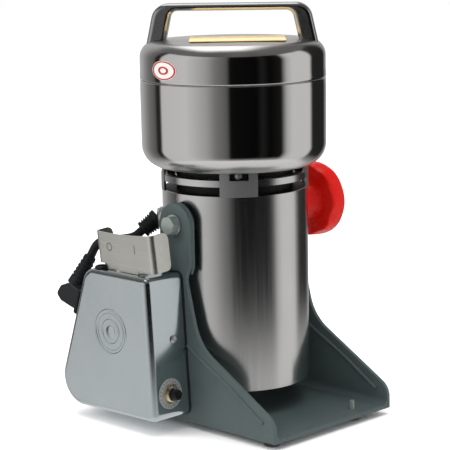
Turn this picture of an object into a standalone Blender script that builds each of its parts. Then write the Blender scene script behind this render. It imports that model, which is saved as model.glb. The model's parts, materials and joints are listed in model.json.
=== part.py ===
"""Tilting high-speed grain and herb mill: a bent sheet stand carries a motor tube with a grinding bowl on
a horizontal pivot, clamped by a knob, with a switch box on the left side.

Metres, +Z up, +X to the machine's right, -Y to its front. The motor's axis is the line x = AXIS_X, y = 0.
Every part is modelled in the machine's own frame and hangs on the empty "machine".
"""

from math import cos, pi, radians, sin, tan

import bmesh
import bpy
from mathutils import Matrix, Vector

MM = 0.001
GAP = 0.3 * MM  # clearance that touching parts keep
SEGMENTS = 40  # sides of a large turned part
SMALL_SEGMENTS = 16  # sides of a small turned part
HEX_HEAD = 7.5 * MM  # corner radius of a head or nut on an 8 mm thread
CLEARANCE_BORE = 4.3 * MM
WASHER = 1.6 * MM
HEX_BORE = 5.0 * MM  # corner radius of the bore of a nut on an 8 mm thread, which is modelled six-sided

# Stand
SHEET = 3.2 * MM
BASE_HALF_WIDTH = 66.5 * MM
BASE_HALF_DEPTH = 103.4 * MM
FOOT_HEIGHT = 5.0 * MM
FOOT_RADIUS = 7.5 * MM
FOOT_LEFT = -55.0 * MM
FOOT_RIGHT = 36.0 * MM
FOOT_Y = 90.0 * MM
PIVOT_HEIGHT = 159.0 * MM
EAR_RADIUS = 16.5 * MM
EAR_RIM_DEPTH = 6.0 * MM
EAR_RIM_BOTTOM = 129.0 * MM

# Motor tube
TUBE_RADIUS = 57.5 * MM
TUBE_WALL = 1.5 * MM
TUBE_BOTTOM = 28.7 * MM
TUBE_TOP = 201.5 * MM
TAB_ANGLE = 28.0  # degrees of tube left between two slots
TAB_CENTRE = -132.0  # direction of the first tab

# Grinding bowl and lid
BOWL_RADIUS = 72.5 * MM
BOWL_BOTTOM = 198.0 * MM
BOWL_FLOOR_UNDER = 204.0 * MM
BOWL_FLOOR = 208.0 * MM
BOWL_WALL = 2.0 * MM
BOWL_CORNER = 18.0 * MM
SEAM = 266.8 * MM
LID_TOP = 297.0 * MM
LID_SHOULDER = 12.0 * MM

# Handle
HANDLE_TOP = 324.5 * MM
HANDLE_YAW = -49.0  # degrees that its bar is turned from X
HANDLE_FOOT = 68.0 * MM  # half span at the foot, outside
HANDLE_SHOULDER = 60.0 * MM  # half span at the top, outside
HANDLE_BAR = 5.5 * MM
LABEL_CENTRE = (-6.0 * MM, -11.5 * MM)
LABEL_HALF = (37 * MM, 25 * MM)

# Knob and box
KNOB_INNER = 85.0 * MM
KNOB_OUTER = 98.5 * MM
KNOB_RADIUS = 30.4 * MM
STUD_END = KNOB_OUTER - 3.5 * MM
BOX_OUT = 104.5 * MM
BOX_WALL = 1.5 * MM
EMBLEM_RISE = 0.8 * MM
EMBLEM_Y, EMBLEM_Z = 34.0 * MM, 76.0 * MM
AXIS_X = (BOX_OUT + EMBLEM_RISE - KNOB_OUTER) / 2  # centres the whole width on x = 0

# Switch box fittings
BOX_TOP = 122.5 * MM
BOX_BACK_TOP = 64.3 * MM  # y where the rear wall's line meets the top
WALL_FRONT = -13.3 * MM  # y of the front wall at the breaker
FRONT_SLOPE = 3.5  # degrees that the front wall leans from upright
BREAKER_X, BREAKER_Z = -87.0 * MM, 32.0 * MM
SCREW_X, SCREW_Z = -80.0 * MM, 73.0 * MM
TOGGLE_X, TOGGLE_Y = -86.0 * MM, 22.0 * MM
TOGGLE_LEAN = 15.0  # degrees to the rear, the off position
GROMMET_X, GROMMET_Y = -95.0 * MM, 53.0 * MM

# Toggle guard
GUARD_SHEET = 1.2 * MM
GUARD_OUT = 95.0 * MM
GUARD_DEPTH = 17.5 * MM
GUARD_HALF = 32.2 * MM
GUARD_Y = 24.0 * MM
GUARD_BOTTOM = 123.8 * MM
GUARD_HEIGHT = 29.8 * MM
GUARD_ROLL = 2.6  # degrees that its front edge sits higher than its rear edge
GUARD_TILT = 4.6  # degrees that it leans outwards
GUARD_NOTCH = 7.0 * MM  # radius that it leaves open round the grommet

# Motor lead
LEAD_DIAMETER = 7.0 * MM
MOTOR_GLAND_ANGLE = 141.0
MOTOR_GLAND_Z = 157.0 * MM
BOOT_LENGTH = 16.0 * MM
LEAD_END_GAP = 0.9 * MM  # the lead meets its boots at a slight angle
REAR_SLOPE = 19.36  # degrees that the box's rear wall leans from upright
CONNECTOR_X, CONNECTOR_Z = -90.0 * MM, 92.1 * MM
CONNECTOR_Y = BOX_BACK_TOP + (BOX_TOP - CONNECTOR_Z) * tan(radians(REAR_SLOPE))
NECK_START = (-90.5 * MM, 91.0 * MM, 103.0 * MM)
NECK_TOP = (-81.0 * MM, 82.8 * MM, 126.0 * MM)
LEAD_POINTS = (
    (-62.6 * MM, 50.7 * MM, 143.2 * MM),
    (-68 * MM, 59.5 * MM, 141.0 * MM),
    (-73.5 * MM, 70 * MM, 140.8 * MM),
    (-77.3 * MM, 78.6 * MM, 135.5 * MM),
)


def clear_scene():
    for obj in list(bpy.data.objects):
        bpy.data.objects.remove(obj, do_unlink=True)


def finish(name, rgb, roughness, metallic=0.0):
    """A Principled material."""
    made = bpy.data.materials.new(name)
    made.use_nodes = True
    shader = made.node_tree.nodes["Principled BSDF"]
    shader.inputs["Base Color"].default_value = (*rgb, 1.0)
    shader.inputs["Roughness"].default_value = roughness
    shader.inputs["Metallic"].default_value = metallic
    return made


def place(name, mesh, material, parent, at=(0, 0, 0), turn=None):
    """An object at a place in its parent's frame, shaded smooth up to 35 degrees."""
    mesh.materials.append(material)
    mesh.shade_smooth()
    mesh.set_sharp_from_angle(angle=radians(35))
    obj = bpy.data.objects.new(name, mesh)
    bpy.context.scene.collection.objects.link(obj)
    obj.parent = parent
    obj.location = at
    if turn is not None:
        obj.rotation_euler = turn
    return obj


def empty(name, parent=None, at=(0, 0, 0)):
    made = bpy.data.objects.new(name, None)
    bpy.context.scene.collection.objects.link(made)
    made.parent = parent
    made.location = at
    return made


def mesh_from(bm, name):
    bmesh.ops.remove_doubles(bm, verts=bm.verts, dist=1e-7)
    bmesh.ops.recalc_face_normals(bm, faces=bm.faces)
    mesh = bpy.data.meshes.new(name)
    bm.to_mesh(mesh)
    bm.free()
    return mesh


def arc(centre, radius, start, end, steps):
    """Points of an arc about a centre, from one angle to another in degrees, both ends included."""
    angles = [radians(start + (end - start) * k / steps) for k in range(steps + 1)]
    return [(centre[0] + radius * cos(a), centre[1] + radius * sin(a)) for a in angles]


def rounded(corners, steps=4):
    """A closed outline of corners (a, b, radius), each rounded by a curve of its radius."""
    points = []
    for k, (a, b, radius) in enumerate(corners):
        here = Vector((a, b))
        before = (Vector(corners[k - 1][:2]) - here).normalized()
        after = (Vector(corners[(k + 1) % len(corners)][:2]) - here).normalized()
        if radius == 0:
            points.append((a, b))
            continue
        half = before.angle(after) / 2
        reach = radius / max(1e-6, sin(half) / cos(half))
        start = here + before * reach
        end = here + after * reach
        centre = here + (before + after).normalized() * (radius / sin(half))
        first = (start - centre)
        sweep = first.angle_signed(end - centre)
        for step in range(steps + 1):
            turned_by = -sweep * step / steps
            point = centre + Matrix.Rotation(turned_by, 2) @ first
            points.append((point.x, point.y))
    return points


def turned(name, profile, steps=SEGMENTS):
    """A solid of revolution about Z from a closed (radius, height) outline."""
    bm = bmesh.new()
    verts = [bm.verts.new((r, 0, z)) for r, z in profile]
    edges = [bm.edges.new((a, b)) for a, b in zip(verts, verts[1:] + verts[:1])]
    kept = [e for e in edges if max(abs(v.co.x) for v in e.verts) > 1e-9]
    bmesh.ops.spin(
        bm, geom=verts + kept, cent=(0, 0, 0), axis=(0, 0, 1), angle=2 * pi, steps=steps, use_merge=True
    )
    bmesh.ops.remove_doubles(bm, verts=bm.verts, dist=1e-7)
    loose = [v for v in bm.verts if not v.link_faces]
    bmesh.ops.delete(bm, geom=loose, context="VERTS")
    wires = [e for e in bm.edges if not e.link_faces]
    bmesh.ops.delete(bm, geom=wires, context="EDGES")
    return mesh_from(bm, name)


def prism(name, outline, low, high, axes="XY"):
    """An outline extruded from low to high along the third axis."""
    place_point = {
        "XY": lambda a, b, c: (a, b, c),
        "YZ": lambda a, b, c: (c, a, b),
        "XZ": lambda a, b, c: (a, c, b),
    }[axes]
    bm = bmesh.new()
    face = bm.faces.new([bm.verts.new(place_point(a, b, low)) for a, b in outline])
    moved = bmesh.ops.extrude_face_region(bm, geom=[face])["geom"]
    shift = Vector(place_point(0, 0, high)) - Vector(place_point(0, 0, low))
    bmesh.ops.translate(bm, vec=shift, verts=[g for g in moved if isinstance(g, bmesh.types.BMVert)])
    return mesh_from(bm, name)


def rod(name, radius, low, high, steps=SMALL_SEGMENTS, hole=0.0):
    """A round bar or a sleeve along Z."""
    if hole:
        profile = [(hole, low), (radius, low), (radius, high), (hole, high)]
    else:
        profile = [(0, low), (radius, low), (radius, high), (0, high)]
    return turned(name, profile, steps)


def block(name, low, high):
    outline = [(low[0], low[1]), (high[0], low[1]), (high[0], high[1]), (low[0], high[1])]
    return prism(name, outline, low[2], high[2])


def along_x(mesh):
    """Turns a mesh made about Z so that its +Z points to +X."""
    mesh.transform(Matrix.Rotation(radians(90), 4, "Y"))
    return mesh


def tool(name, mesh, parent):
    """A hidden cutter."""
    obj = bpy.data.objects.new(name, mesh)
    bpy.context.scene.collection.objects.link(obj)
    obj.parent = parent
    obj.hide_render = True
    obj.display_type = "WIRE"
    return obj


def combine(obj, other, operation):
    made = obj.modifiers.new(operation.lower() + "_" + other.name, "BOOLEAN")
    made.operation = operation
    made.object = other


def cut(obj, mesh):
    combine(obj, tool(f"cutter_{obj.name}_{len(obj.modifiers)}", mesh, obj.parent), "DIFFERENCE")


def join(obj, mesh):
    combine(obj, tool(f"addition_{obj.name}_{len(obj.modifiers)}", mesh, obj.parent), "UNION")


def sector(name, inner, outer, low, high, centre, width, steps=5):
    """A piece of a thick ring, centred on an angle and that many degrees wide."""
    start, end = centre - width / 2, centre + width / 2
    outline = arc((0, 0), outer, start, end, steps) + arc((0, 0), inner, end, start, steps)
    return prism(name, outline, low, high)


clear_scene()
GREY_PAINT = finish("grey_paint", (0.09, 0.125, 0.115), 0.42)
RUBBER = finish("rubber", (0.012, 0.012, 0.013), 0.6)
ZINC = finish("zinc", (0.55, 0.56, 0.54), 0.32, 1.0)
BRUSHED = finish("brushed_stainless", (0.55, 0.53, 0.51), 0.3, 1.0)
MIRROR_STEEL = finish("polished_stainless", (0.72, 0.71, 0.70), 0.08, 1.0)
CHROME = finish("chrome", (0.68, 0.72, 0.75), 0.1, 1.0)
SATIN = finish("satin_stainless", (0.62, 0.59, 0.56), 0.35, 1.0)
RED = finish("red_plastic", (0.75, 0.015, 0.02), 0.2)
BLACK = finish("black_plastic", (0.014, 0.014, 0.016), 0.4)
BLACK_METAL = finish("black_metal", (0.02, 0.022, 0.025), 0.45, 0.3)
BRASS = finish("nickel_brass", (0.62, 0.50, 0.33), 0.25, 1.0)
COPPER = finish("copper", (0.72, 0.33, 0.16), 0.35, 1.0)
IRON = finish("lamination_steel", (0.30, 0.30, 0.31), 0.5, 1.0)
GOLD_FOIL = finish("gold_foil", (0.80, 0.55, 0.16), 0.3, 0.6)
SILICONE = finish("silicone", (0.75, 0.75, 0.72), 0.5)

machine = empty("machine", at=(AXIS_X, 0, 0))
tilt_axis = empty("tilt_axis", machine, (0, 0, PIVOT_HEIGHT))
grinder = empty("grinder", tilt_axis, (0, 0, -PIVOT_HEIGHT))


# Stand

def side_outline():
    """(y, z) outline of a side plate: straight foot, sweeping flanks, neck and round ear."""
    front = rounded(
        [
            (-BASE_HALF_DEPTH, FOOT_HEIGHT, 0),
            (-BASE_HALF_DEPTH, 22 * MM, 14 * MM),
            (-76 * MM, 38 * MM, 60 * MM),
            (-24 * MM, 68 * MM, 38 * MM),
            (-11 * MM, 119 * MM, 12 * MM),
            (-EAR_RADIUS, 127 * MM, 5 * MM),
            (-EAR_RADIUS, PIVOT_HEIGHT, 0),
            (0, PIVOT_HEIGHT, 0),
        ]
    )[:-2]
    ear = arc((0, PIVOT_HEIGHT), EAR_RADIUS, 180, 0, 10)
    rear = [(-y, z) for y, z in reversed(front)]
    return front + ear + rear


def stand():
    half = BASE_HALF_WIDTH - SHEET - GAP
    base = place(
        "base_plate",
        block(
            "base_plate",
            (-half, -BASE_HALF_DEPTH, FOOT_HEIGHT),
            (half, BASE_HALF_DEPTH, FOOT_HEIGHT + SHEET),
        ),
        GREY_PAINT,
        machine,
    )
    for side, name in ((-1, "left"), (1, "right")):
        outer, inner = side * BASE_HALF_WIDTH, side * (BASE_HALF_WIDTH - SHEET)
        plate = place(
            f"{name}_side_plate",
            prism(f"{name}_side_plate", side_outline(), min(outer, inner), max(outer, inner), "YZ"),
            GREY_PAINT,
            machine,
        )
        centre = (0, PIVOT_HEIGHT)
        bore = EAR_RADIUS - SHEET
        rim_outer = [(-EAR_RADIUS, EAR_RIM_BOTTOM), *arc(centre, EAR_RADIUS, 180, 0, 10)]
        rim_inner = [(bore, EAR_RIM_BOTTOM), *arc(centre, bore, 0, 180, 10), (-bore, EAR_RIM_BOTTOM)]
        rim_outer.append((EAR_RADIUS, EAR_RIM_BOTTOM))
        rim_end = side * (BASE_HALF_WIDTH - EAR_RIM_DEPTH)
        rim_start = side * (BASE_HALF_WIDTH - SHEET / 2)
        rim_low, rim_high = sorted((rim_end, rim_start))
        join(plate, prism("rim", rim_outer + rim_inner, rim_low, rim_high, "YZ"))
        cut(plate, shifted(along_x(rod("hole", 4.6 * MM, -20 * MM, 20 * MM)), (outer, 0, PIVOT_HEIGHT)))
    for foot_x, x_name in ((FOOT_LEFT, "left"), (FOOT_RIGHT, "right")):
        for y_side, y_name in ((-1, "front"), (1, "rear")):
            at = (foot_x, y_side * FOOT_Y, 0)
            name = f"{y_name}_{x_name}"
            foot_profile = [
                (3.6 * MM, 1.2 * MM),
                (3.6 * MM, 0),
                (FOOT_RADIUS - 1 * MM, 0),
                (FOOT_RADIUS, 1 * MM),
                (FOOT_RADIUS, FOOT_HEIGHT - GAP),
                (2.3 * MM, FOOT_HEIGHT - GAP),
                (2.3 * MM, 1.2 * MM),
            ]
            place(f"foot_{name}", turned("foot", foot_profile, SMALL_SEGMENTS), RUBBER, machine, at)
            screw_profile = [
                (0, 0.3 * MM),
                (3.3 * MM, 0.3 * MM),
                (3.3 * MM, 0.9 * MM),
                (2.0 * MM, 0.9 * MM),
                (2.0 * MM, FOOT_HEIGHT + SHEET + 6.8 * MM),
                (0, FOOT_HEIGHT + SHEET + 6.8 * MM),
            ]
            place(f"foot_screw_{name}", turned("foot_screw", screw_profile, 12), ZINC, machine, at)
            cut(base, shifted(rod("hole", 2.4 * MM, 0, 20 * MM, 12), at))


def shifted(mesh, by):
    mesh.transform(Matrix.Translation(by))
    return mesh


# Pivot and clamp

def pivot():
    reach = BASE_HALF_WIDTH - SHEET - GAP
    for side, name in ((-1, "left"), (1, "right")):
        low, high = sorted((side * (TUBE_RADIUS - 4 * MM), side * reach))
        sleeve = rod("boss", 10 * MM, low, high, SMALL_SEGMENTS, CLEARANCE_BORE)
        boss = place(f"pivot_boss_{name}", along_x(sleeve), ZINC, tilt_axis)
        cut(boss, shifted(rod("round", TUBE_RADIUS + GAP, -20 * MM, 20 * MM, SEGMENTS), (0, 0, 0)))
    washer_face = -(BASE_HALF_WIDTH + GAP)
    washer_back = washer_face - WASHER
    washer = along_x(rod("washer", 8.0 * MM, washer_back, washer_face, SMALL_SEGMENTS, CLEARANCE_BORE))
    place("pivot_washer", washer, ZINC, tilt_axis)
    head_inner = washer_back - GAP
    head = rod("pivot_bolt", HEX_HEAD, head_inner - 5.3 * MM, head_inner, 6)
    bolt = place("pivot_bolt", along_x(head), ZINC, tilt_axis)
    join(bolt, along_x(rod("shank", 4.0 * MM, head_inner - 1 * MM, -46 * MM)))
    nut_outer = -(TUBE_RADIUS - TUBE_WALL - 1.2 * MM)
    nut = along_x(rod("pivot_nut", HEX_HEAD, nut_outer, nut_outer + 6 * MM, 6, HEX_BORE))
    place("pivot_nut", nut, ZINC, tilt_axis)

    stud = place("clamp_stud", along_x(rod("clamp_stud", 4.0 * MM, 46 * MM, STUD_END)), ZINC, tilt_axis)
    join(stud, along_x(rod("stud_head", HEX_HEAD, -nut_outer - 6 * MM, -nut_outer, 6)))
    washer = along_x(rod("washer", 10 * MM, -washer_face, -washer_back, SMALL_SEGMENTS, CLEARANCE_BORE))
    place("clamp_washer", washer, ZINC, tilt_axis)


def knob():
    """Lobed star knob with a hub, turned about the clamp stud."""
    lobes, rise, count = 8, 0.8 * MM, 64
    outline = []
    for k in range(count):
        angle = 2 * pi * k / count
        radius = KNOB_RADIUS - rise + rise * cos(lobes * angle)
        outline.append((radius * cos(angle), radius * sin(angle)))
    disc = prism("clamp_knob", outline, KNOB_INNER, KNOB_OUTER)
    obj = place("clamp_knob", along_x(disc), RED, tilt_axis)
    hub_start = BASE_HALF_WIDTH + WASHER + 2 * GAP
    join(obj, along_x(rod("hub", 13 * MM, hub_start, KNOB_INNER + 1 * MM, SMALL_SEGMENTS)))
    cut(obj, along_x(rod("socket", CLEARANCE_BORE, 60 * MM, STUD_END + GAP)))


# Motor

def tube():
    profile = [
        (TUBE_RADIUS - TUBE_WALL, TUBE_BOTTOM),
        (TUBE_RADIUS, TUBE_BOTTOM),
        (TUBE_RADIUS, TUBE_TOP),
        (TUBE_RADIUS - TUBE_WALL, TUBE_TOP),
    ]
    obj = place("motor_tube", turned("motor_tube", profile), BRUSHED, grinder)
    inside, outside = TUBE_RADIUS - 5 * MM, TUBE_RADIUS + 5 * MM
    slots = ((181.2 * MM, 188.5 * MM), (193.5 * MM, TUBE_TOP + 2 * MM))
    for low, high in slots:
        for quarter in range(4):
            centre = TAB_CENTRE + 45 + 90 * quarter
            cut(obj, sector("slot", inside, outside, low, high, centre, 90 - TAB_ANGLE))
    for side in (-1, 1):
        hole = along_x(rod("hole", 4.3 * MM, -8 * MM, 8 * MM))
        cut(obj, shifted(hole, (side * TUBE_RADIUS, 0, PIVOT_HEIGHT)))
    gland_turn = Matrix.Rotation(radians(MOTOR_GLAND_ANGLE), 4, "Z")
    hole = along_x(rod("hole", 5.4 * MM, TUBE_RADIUS - 8 * MM, TUBE_RADIUS + 8 * MM, 16))
    cut(obj, shifted(transformed(hole, gland_turn), (0, 0, MOTOR_GLAND_Z)))


def transformed(mesh, matrix):
    mesh.transform(matrix)
    return mesh


def motor():
    bore = TUBE_RADIUS - TUBE_WALL - GAP
    cover = [
        (0, TUBE_BOTTOM + 0.5 * MM),
        (bore, TUBE_BOTTOM + 0.5 * MM),
        (bore, TUBE_BOTTOM + 6 * MM),
        (bore - 1.5 * MM, TUBE_BOTTOM + 6 * MM),
        (bore - 1.5 * MM, TUBE_BOTTOM + 2 * MM),
        (0, TUBE_BOTTOM + 2 * MM),
    ]
    place("motor_bottom_cover", turned("motor_bottom_cover", cover), BLACK, grinder)

    shaft = [
        (0, 40 * MM),
        (4 * MM, 40 * MM),
        (4 * MM, 62 * MM),
        (6 * MM, 62 * MM),
        (6 * MM, 180 * MM),
        (5 * MM, 180 * MM),
        (5 * MM, 214 * MM),
        (4 * MM, 214 * MM),
        (4 * MM, 238 * MM),
        (0, 238 * MM),
    ]
    place("motor_shaft", turned("motor_shaft", shaft, SMALL_SEGMENTS), ZINC, grinder)

    lower = [
        (11.3 * MM, 40 * MM),
        (14 * MM, 40 * MM),
        (14 * MM, 44 * MM),
        (bore, 44 * MM),
        (bore, 58 * MM),
        (bore - 4 * MM, 58 * MM),
        (bore - 4 * MM, 48 * MM),
        (14 * MM, 48 * MM),
        (14 * MM, 50 * MM),
        (11.3 * MM, 50 * MM),
    ]
    place("lower_end_bracket", turned("lower_end_bracket", lower), BLACK_METAL, grinder)
    place("lower_bearing", rod("lower_bearing", 11 * MM, 42 * MM, 49 * MM, 24, 4.3 * MM), ZINC, grinder)

    upper = [
        (16.3 * MM, 170 * MM),
        (19 * MM, 170 * MM),
        (19 * MM, 176 * MM),
        (bore, 176 * MM),
        (bore, 181 * MM),
        (46 * MM, 181 * MM),
        (46 * MM, 203.5 * MM),
        (36 * MM, 203.5 * MM),
        (36 * MM, 184 * MM),
        (16.3 * MM, 184 * MM),
    ]
    place("upper_end_bracket", turned("upper_end_bracket", upper), BLACK_METAL, grinder)
    place("upper_bearing", rod("upper_bearing", 16 * MM, 171 * MM, 179.5 * MM, 24, 6.3 * MM), ZINC, grinder)
    clamp = [(48 * MM, 189.5 * MM), (bore, 189.5 * MM), (bore, 193.2 * MM), (48 * MM, 193.2 * MM)]
    place("bowl_clamp_ring", turned("bowl_clamp_ring", clamp), SATIN, grinder)

    place("stator_core", rod("stator_core", 46 * MM, 88 * MM, 136 * MM, SEGMENTS, 27 * MM), IRON, grinder)
    inner, outer, corner = 30 * MM, 43 * MM, 3 * MM
    for name, low, high in (("lower", 76 * MM, 87.7 * MM), ("upper", 136.3 * MM, 148 * MM)):
        section = [(inner, low), (outer, low), (outer, high), (inner, high)]
        ring = rounded([(x, z, corner) for x, z in section], 1)
        place(f"field_winding_{name}", turned("winding", ring, 24), COPPER, grinder)
    place("armature_core", rod("armature_core", 26 * MM, 84 * MM, 140 * MM, 32, 6.3 * MM), IRON, grinder)
    place("commutator", rod("commutator", 13 * MM, 62.5 * MM, 78 * MM, 24, 6.3 * MM), COPPER, grinder)
    for side, name in ((-1, "left"), (1, "right")):
        low, high = sorted((side * 13.5 * MM, side * 34 * MM))
        brush = block("brush", (low, -5 * MM, 63 * MM), (high, 5 * MM, 72 * MM))
        place(f"brush_holder_{name}", brush, BRASS, grinder)


def fan():
    hub = rod("cooling_fan", 13 * MM, 152 * MM, 166 * MM, 24, 6.3 * MM)
    obj = place("cooling_fan", hub, BLACK, grinder)
    join(obj, rod("disc", 48 * MM, 152 * MM, 154 * MM, 32, 12 * MM))
    for k in range(8):
        blade = block("blade", (12 * MM, -1 * MM, 153 * MM), (46 * MM, 1 * MM, 164 * MM))
        join(obj, transformed(blade, Matrix.Rotation(2 * pi * k / 8, 4, "Z")))


# Bowl, blades and lid

def bowl():
    corner = (BOWL_RADIUS - BOWL_CORNER, BOWL_BOTTOM + BOWL_CORNER)
    recess = TUBE_RADIUS + 2.5 * MM
    outside = [
        (recess, BOWL_FLOOR_UNDER),
        (recess, BOWL_BOTTOM + 1.0 * MM),
        *arc(corner, BOWL_CORNER, -68, 0, 5),
        (BOWL_RADIUS, SEAM - GAP),
    ]
    inside_corner = (BOWL_RADIUS - BOWL_CORNER, BOWL_FLOOR + BOWL_CORNER - BOWL_WALL)
    inside = [
        (BOWL_RADIUS - BOWL_WALL, SEAM - GAP),
        *arc(inside_corner, BOWL_CORNER - BOWL_WALL, 0, -90, 4),
        (9.3 * MM, BOWL_FLOOR),
        (9.3 * MM, BOWL_FLOOR_UNDER),
    ]
    place("grinding_bowl", turned("grinding_bowl", outside + inside), MIRROR_STEEL, grinder)
    seal = [(5.3 * MM, 204 * MM), (9 * MM, 204 * MM), (9 * MM, 211 * MM), (5.3 * MM, 211 * MM)]
    place("shaft_seal", turned("shaft_seal", seal, 24), SILICONE, grinder)


def blade(name, height, angle, tip_rise):
    """A bar blade with a bore for the shaft, its tips bent and sharpened."""
    half, width, thick = 56 * MM, 9 * MM, 2.5 * MM
    profile = [
        (-half, tip_rise),
        (-half + 14 * MM, 0),
        (half - 14 * MM, 0),
        (half, tip_rise),
        (half, tip_rise + thick),
        (half - 14 * MM, thick),
        (-half + 14 * MM, thick),
        (-half, tip_rise + thick),
    ]
    bar = prism(name, profile, -width, width, "XZ")
    obj = place(name, bar, SATIN, grinder, (0, 0, height), (0, 0, radians(angle)))
    hole = tool(f"cutter_{name}", rod("hole", 4.3 * MM, -20 * MM, 20 * MM), obj)
    combine(obj, hole, "DIFFERENCE")


def blades():
    blade("lower_blade", 214.3 * MM, 20, -1.5 * MM)
    place("blade_spacer", rod("blade_spacer", 8 * MM, 217.1 * MM, 224 * MM, 24, 4.3 * MM), ZINC, grinder)
    blade("upper_blade", 224.3 * MM, 110, 8 * MM)
    nut = rod("blade_nut", HEX_HEAD, 227.1 * MM, 234 * MM, 6, HEX_BORE)
    place("blade_nut", nut, ZINC, grinder)


def lid():
    radius = BOWL_RADIUS
    corner = (radius - LID_SHOULDER, LID_TOP - LID_SHOULDER)
    wall = 2.0 * MM
    outside = [
        (radius, SEAM + GAP),
        *arc(corner, LID_SHOULDER, 0, 90, 5),
        (0, LID_TOP),
    ]
    inside = [
        (0, LID_TOP - wall),
        *arc(corner, LID_SHOULDER - wall, 90, 0, 3),
        (radius - wall, SEAM + GAP),
    ]
    place("lid_shell", turned("lid_shell", outside + inside), MIRROR_STEEL, grinder)
    ring = [
        (62 * MM, 258 * MM),
        (radius - BOWL_WALL - GAP, 258 * MM),
        (radius - BOWL_WALL - GAP, 272 * MM),
        (62 * MM, 272 * MM),
    ]
    place("lid_seal", turned("lid_seal", ring), SILICONE, grinder)


def handle():
    """Cast bail in its own plane: two legs on the shoulder of the lid and a flat bar across."""
    foot, shoulder, top = HANDLE_FOOT, HANDLE_SHOULDER, HANDLE_TOP - LID_TOP
    inner = 50 * MM
    outline = rounded(
        [
            (-foot, -8 * MM, 0),
            (-shoulder, top, 13 * MM),
            (shoulder, top, 13 * MM),
            (foot, -8 * MM, 0),
            (inner + 2 * MM, -8 * MM, 0),
            (inner - 3 * MM, top - HANDLE_BAR, 6 * MM),
            (-inner + 3 * MM, top - HANDLE_BAR, 6 * MM),
            (-inner - 2 * MM, -8 * MM, 0),
        ]
    )
    mesh = prism("handle", outline, -9 * MM, 9 * MM, "XZ")
    obj = place("handle", mesh, CHROME, grinder, (0, 0, LID_TOP), (0, 0, radians(HANDLE_YAW)))
    bevel = obj.modifiers.new("edges", "BEVEL")
    bevel.width = 2 * MM
    bevel.segments = 1
    bevel.limit_method = "ANGLE"
    bevel.angle_limit = radians(50)
    bevel.use_clamp_overlap = True
    corner = (BOWL_RADIUS - LID_SHOULDER, -LID_SHOULDER)
    grown = LID_SHOULDER + GAP
    seat = [(0, GAP), *arc(corner, grown, 90, 0, 8), (BOWL_RADIUS + GAP, -30 * MM), (0, -30 * MM)]
    cutter = tool("cutter_handle", turned("seat", seat), obj)
    cutter.rotation_euler = (0, 0, radians(-HANDLE_YAW))
    combine(obj, cutter, "DIFFERENCE")
    half_x, half_y = LABEL_HALF
    plate = block("lid_label", (-half_x, -half_y, GAP), (half_x, half_y, 1 * MM))
    place("lid_label", plate, GOLD_FOIL, grinder, (*LABEL_CENTRE, LID_TOP), (0, 0, radians(-45)))


# Switch box

BOX_CORNERS = (
    (-7.7 * MM, BOX_TOP, 5 * MM),
    (BOX_BACK_TOP, BOX_TOP, 12 * MM),
    (104.1 * MM, 9.2 * MM, 22 * MM),
    (-14.5 * MM, 11.6 * MM, 6 * MM),
)


def box_outline(inset=0.0):
    """(y, z) outline of the switch box, with each side moved inward by an inset."""
    corners = []
    for k, (y, z, radius) in enumerate(BOX_CORNERS):
        here = Vector((y, z))
        before = (Vector(BOX_CORNERS[k - 1][:2]) - here).normalized()
        after = (Vector(BOX_CORNERS[(k + 1) % len(BOX_CORNERS)][:2]) - here).normalized()
        inward = (before + after).normalized()
        point = here + inward * inset / sin(before.angle(after) / 2)
        corners.append((point.x, point.y, max(1 * MM, radius - inset)))
    return rounded(corners, 5)


def switch_box():
    back = -(BASE_HALF_WIDTH + GAP)
    gasket = prism("switch_box_gasket", box_outline(), back - 1.0 * MM, back, "YZ")
    seal = place("switch_box_gasket", gasket, RUBBER, machine)
    cut(seal, prism("window", box_outline(7 * MM), back - 5 * MM, back + 5 * MM, "YZ"))
    rear = back - 1.0 * MM - GAP
    shell = prism("switch_box_cover", box_outline(), -BOX_OUT, rear, "YZ")
    cover = place("switch_box_cover", shell, CHROME, machine)
    edges = cover.modifiers.new("edges", "BEVEL")
    edges.width = 4 * MM
    edges.segments = 3
    edges.limit_method = "WEIGHT"
    weights = shell.attributes.new("bevel_weight_edge", "FLOAT", "EDGE")
    for edge in shell.edges:
        a, b = (shell.vertices[k].co for k in edge.vertices)
        weights.data[edge.index].value = 1.0 if max(a.x, b.x) < -BOX_OUT + 1e-6 else 0.0
    cut(cover, prism("hollow", box_outline(BOX_WALL), -BOX_OUT + BOX_WALL, rear + 5 * MM, "YZ"))
    emblem = place_ring(-BOX_OUT - EMBLEM_RISE, EMBLEM_Y, EMBLEM_Z, 18 * MM, EMBLEM_RISE + 0.5 * MM)
    join(cover, emblem)
    breaker_hole = rod("hole", 6.6 * MM, -6 * MM, 6 * MM)
    breaker_hole.transform(Matrix.Rotation(radians(90 - FRONT_SLOPE), 4, "X"))
    cut(cover, shifted(breaker_hole, (BREAKER_X, WALL_FRONT, BREAKER_Z)))
    toggle_hole = rod("hole", 6.4 * MM, -6 * MM, 6 * MM)
    cut(cover, shifted(toggle_hole, (TOGGLE_X, TOGGLE_Y, BOX_TOP)))
    grommet_hole = rod("hole", 5.0 * MM, -6 * MM, 6 * MM)
    cut(cover, shifted(grommet_hole, (GROMMET_X, GROMMET_Y, BOX_TOP)))
    window = block("window", (-9.5 * MM, -6 * MM, -7.5 * MM), (9.5 * MM, 6 * MM, 7.5 * MM))
    window.transform(Matrix.Rotation(radians(REAR_SLOPE), 4, "X"))
    cut(cover, shifted(window, (CONNECTOR_X, CONNECTOR_Y, CONNECTOR_Z)))


def place_ring(x, y, z, radius, depth):
    """A plain raised ring on the left face of the box."""
    ring = along_x(rod("emblem", radius, 0, depth, 32, radius - 2.5 * MM))
    return shifted(ring, (x, y, z))


# Switch box fittings

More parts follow.
